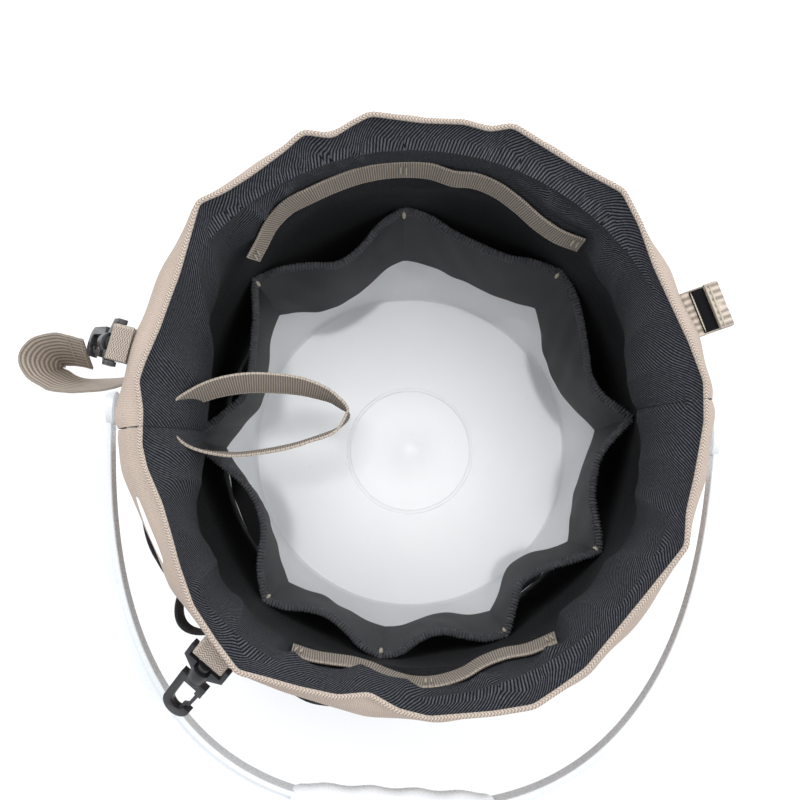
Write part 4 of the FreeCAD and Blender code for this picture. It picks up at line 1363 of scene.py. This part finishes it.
def outer_point(divisions, angle, share):
    """Rows run from the top edge down the cloth and, in the last rows, back to the skirt."""
    fall = np.clip(share / 0.9, 0, 1)
    back = np.clip((share - 0.9) / 0.1, 0, 1)
    stand = outer_stand(divisions, angle)
    high = OUTER_TOP - stand * 0.12
    height = high + (OUTER_LOW + 0.5 * MM - high) * fall
    crease = ripple(angle * 1.3, height * 1.6, 47, 0.3 * MM) * stand / OUTER_BULGE
    radius = skirt_face(angle) + 0.3 * MM + (stand * (1 - 0.12 * fall) + crease + 0.4 * MM) * (1 - back)
    return polar(radius, angle, height)


def make_outer_pockets(front):
    side = "front" if front else "back"
    divisions = outer_divisions(front)
    angles = seam_angles([(start, end, 0, 0) for start, end in zip(divisions[:-1], divisions[1:])], 60)
    columns = len(angles) - 1
    top_edge = outer_point(divisions, angles, 0 * angles)
    length = length_of(top_edge)

    def place(along, across):
        return outer_point(divisions, angles[np.rint(along * columns).astype(int)], 1 - across)

    size = (length, OUTER_TOP - OUTER_LOW + 10 * MM)
    piece = lay_grid("outer_pockets_" + side, columns, 60, place, size)
    aim_sheet(piece, inward=False)
    thicken(piece, CLOTH, 1)
    done(piece, "outer_black", replaced=["outer_pocket_strip_" + side], angle=60)
    centres = top_edge + (0, 0, -2.6 * MM)
    outs = polar(1.0, angles, 0.0)
    ups = upright(centres)
    section = [(-0.5, -3.6), (1.4, -4.0), (2.0, -3.4), (2.0, 2.8), (1.3, 3.5), (-0.2, 3.5), (-0.8, 2.8)]
    tape = sweep("outer_pocket_tape_" + side, centres, outs, ups, np.array(section) * MM)
    return done(tape, "binding", replaced=["outer_pocket_binding_" + side], angle=50)


def make_patch_pocket(front, label, index):
    """A small canvas pocket on the face of a large one."""
    side = "front" if front else "back"
    divisions = outer_divisions(front)
    middle = (divisions[index] + divisions[index + 1]) / 2
    half = (divisions[index + 1] - divisions[index]) / 2 * SMALL_SHARE

    def place(along, across):
        angle = middle + half * (2 * along - 1)
        share = 1 - across
        fall = np.clip(share / 0.88, 0, 1)
        back = np.clip((share - 0.88) / 0.12, 0, 1)
        belly = np.clip(1 - (2 * along - 1) ** 2, 0, 1) ** 0.7
        height = SMALL_TOP + (SMALL_LOW + 0.5 * MM - SMALL_TOP) * fall
        under = outer_point(divisions, angle, (OUTER_TOP - height) / (OUTER_TOP - OUTER_LOW) * 0.9)
        radius = np.hypot(under[:, 0], under[:, 1]) + 1.6 * MM
        radius = radius + (belly * SMALL_BULGE * (1 - 0.2 * fall) + 0.5 * MM) * (1 - back)
        return polar(radius, angle, height)

    edge = place(np.linspace(0, 1, 40), np.ones(40))
    size = (length_of(edge), SMALL_TOP - SMALL_LOW + 6 * MM)
    name = "patch_pocket_" + side + "_" + label
    piece = lay_grid(name, 44, 40, place, size)
    aim_sheet(piece, inward=False)
    thicken(piece, CLOTH, 1)
    done(piece, "tan", replaced=["small_pocket_" + side + "_" + label], angle=60)
    return piece


for is_front, spots in ((True, (("left", 0), ("right", 2))), (False, (("left", 3), ("right", 1)))):
    make_outer_pockets(is_front)
    for spot_label, spot_index in spots:
        make_patch_pocket(is_front, spot_label, spot_index)

# ------------------------------------------------------------------ straps, loop and hooks

COLLAR_FACE = SKIRT + CLOTH + 0.3 * MM
# Strap lines in millimetres: the left strap's from its root, the right one's (out, up) from the collar.
LEFT_STRAP = [(0, 0, 0), (-9, -4, 0), (-20, -7, 0), (-32, -8, 0), (-44, -8, 1), (-54, -5, 2), (-61, 0, 3),
              (-63, 6, 3), (-60, 11, 3), (-52, 13, 3), (-44, 12, 3), (-36, 10, 3)]
LEFT_WIDTHS = [(-0.1, -0.3, 1)] * 5 + [(-0.35, -0.25, 1), (-0.5, 0.0, 1), (-0.5, 0.1, 1), (-0.35, 0.25, 1)]
LEFT_WIDTHS = LEFT_WIDTHS + [(-0.1, 0.4, 1)] * 3
LEFT_STRAP_ANGLE = 168.0
LEFT_STRAP_WIDTH = 38 * MM
RIGHT_STRAP = [(1.8, 0.0), (4.0, 1.2), (10.0, 1.0), (16.0, -1.0), (21.0, -3.5), (23.6, -4.7), (24.8, -1.9),
               (23.2, 0.9), (19.4, 2.7), (15.6, 4.2)]
RIGHT_STRAP_ANGLE = 20.5
RIGHT_STRAP_WIDTH = 25 * MM
HOOK_TABS = {"front_hook": 230.0, "left_hook": 165.5}
# A tab's half height and how far out its bend starts, in millimetres like the strap lines.
TAB_BEND = 3.25
TAB_REACH = 8.5
PENCIL_LOOP_ANGLE = 221.5
PENCIL_LOOP_STAND = 11 * MM


def collar_place(line, angle, height, start=COLLAR_FACE):
    """Places on a line of (out, up) points that stands out from the collar."""
    out = polar(1.0, np.array([angle]), 0.0)[0]
    return [out * (start + along * MM) + (0, 0, height + up * MM) for along, up in line]


def tangent(angle):
    turn = math.radians(angle)
    return np.array([-math.sin(turn), math.cos(turn), 0.0])


def make_left_strap():
    root = polar(SKIRT + CLOTH + 4 * MM, np.array([LEFT_STRAP_ANGLE]), RIM - 82 * MM)[0]
    points = [root + np.array(offset) * MM for offset in LEFT_STRAP]
    strap = ribbon("wide_left_strap", points, LEFT_WIDTHS, LEFT_STRAP_WIDTH, WEB, 200)
    along = unit(np.array([points[-1] - points[-2]]))[0]
    width = np.array(LEFT_WIDTHS[-1], float)
    width = width - along * (width @ along)
    width = width / np.linalg.norm(width)
    face = np.cross(along, width)
    bars = []
    for side in (-1, 1):
        for back in (1.6, 9.0):
            centre = points[-1] - along * back * MM + face * side * 0.9 * MM
            bars.append(stitch_bar("hem", centre, width, face, 34 * MM, 0.9 * MM, 22, 0.8 * MM))
    done(join(bars, "left_strap_stitches"), "tack", "left_strap", angle=60)
    return done(strap, "wide", "left_strap", ["left_strap"], angle=50)


def make_right_strap():
    height = RIM - 17 * MM
    points = collar_place(RIGHT_STRAP, RIGHT_STRAP_ANGLE, height)
    side = tangent(RIGHT_STRAP_ANGLE)
    strap = ribbon("short_right_strap", points, [side] * len(points), RIGHT_STRAP_WIDTH, WEB, 140)
    done(strap, "wide", "right_strap", ["right_strap"], angle=50)
    lift = [(out, up + 1.75) for out, up in ((7.2, 1.15), (10.0, 1.0), (16.0, -1.0))]
    pile_line = collar_place(lift, RIGHT_STRAP_ANGLE, height)
    pile = ribbon("soft_strap_pile", pile_line, [side] * 3, RIGHT_STRAP_WIDTH - 2 * MM, WEB, 40)
    done(pile, "pile", "right_strap", ["right_strap_pile"], angle=50)
    bars = []
    for out, up in ((16.3, 5.1), (18.6, 4.3)):
        centre = collar_place([(out, up)], RIGHT_STRAP_ANGLE, height)[0]
        bars.append(stitch_bar("box", centre, side, np.array([0, 0, 1.0]), 24 * MM, 1.3 * MM, 12, 0.9 * MM))
    centre = collar_place([(7.8, 3.7)], RIGHT_STRAP_ANGLE, height)[0]
    bars.append(stitch_bar("box", centre, side, np.array([0, 0, 1.0]), 23 * MM, 0.9 * MM, 14, 0.8 * MM))
    return done(join(bars, "right_strap_stitches"), "tack", "right_strap", angle=60)


def make_elastic_loop():
    half = math.degrees(14 * MM / COLLAR_FACE)
    angles = np.linspace(PENCIL_LOOP_ANGLE - half, PENCIL_LOOP_ANGLE + half, 17)
    stand = 0.6 * MM + PENCIL_LOOP_STAND * np.abs(np.sin(math.pi * (angles - angles[0]) / (2 * half))) ** 0.8
    points = polar(COLLAR_FACE + 0.6 * MM + stand, angles, RIM - 44 * MM)
    loop = ribbon("pencil_loop", points, upright(points), 20 * MM, WEB, 70)
    return done(loop, "binding", replaced=["elastic_loop"], angle=50)


def make_tab(hook):
    """Elastic folded round the bar of a hook, its ends sewn into the collar."""
    turn = np.radians(np.linspace(90, -90, 9))
    line = [(out, TAB_BEND) for out in (0.2, 3.0, 6.0)]
    line += [(TAB_REACH + TAB_BEND * math.cos(angle), TAB_BEND * math.sin(angle)) for angle in turn]
    line += [(out, -TAB_BEND) for out in (6.0, 3.0, 0.2)]
    points = collar_place(line, HOOK_TABS[hook], RIM - 14 * MM)
    widths = [tangent(HOOK_TABS[hook])] * len(points)
    tab = ribbon(hook + "_elastic_tab", points, widths, 19 * MM, WEB, 90)
    return done(tab, "tab", replaced=[hook + "_tab"], angle=50)


def moulded_copy(name, node, body):
    """A moulded part with the softened edges it has from its mould."""
    source = frame["nodes"][node]
    piece = bpy.data.objects.new(name, source.data.copy())
    bpy.context.scene.collection.objects.link(piece)
    piece.data.transform(source.matrix_world)
    edit_all(piece, lambda: bpy.ops.mesh.remove_doubles(threshold=2e-5),
             lambda: bpy.ops.mesh.dissolve_limited(angle_limit=math.radians(4)), face_out)
    bevel(piece, 0.35 * MM, 2, 30)
    return done(piece, "hook", body, [node], 35)


make_left_strap()
make_right_strap()
make_elastic_loop()
for hook_name in HOOK_TABS:
    make_tab(hook_name)
    moulded_copy(hook_name + "_barrel", hook_name + "_swivel_base", hook_name + "_frame")
    moulded_copy(hook_name + "_ring", hook_name + "_body", hook_name)
    moulded_copy(hook_name + "_sprung_lever", hook_name + "_gate", hook_name + "_gate")
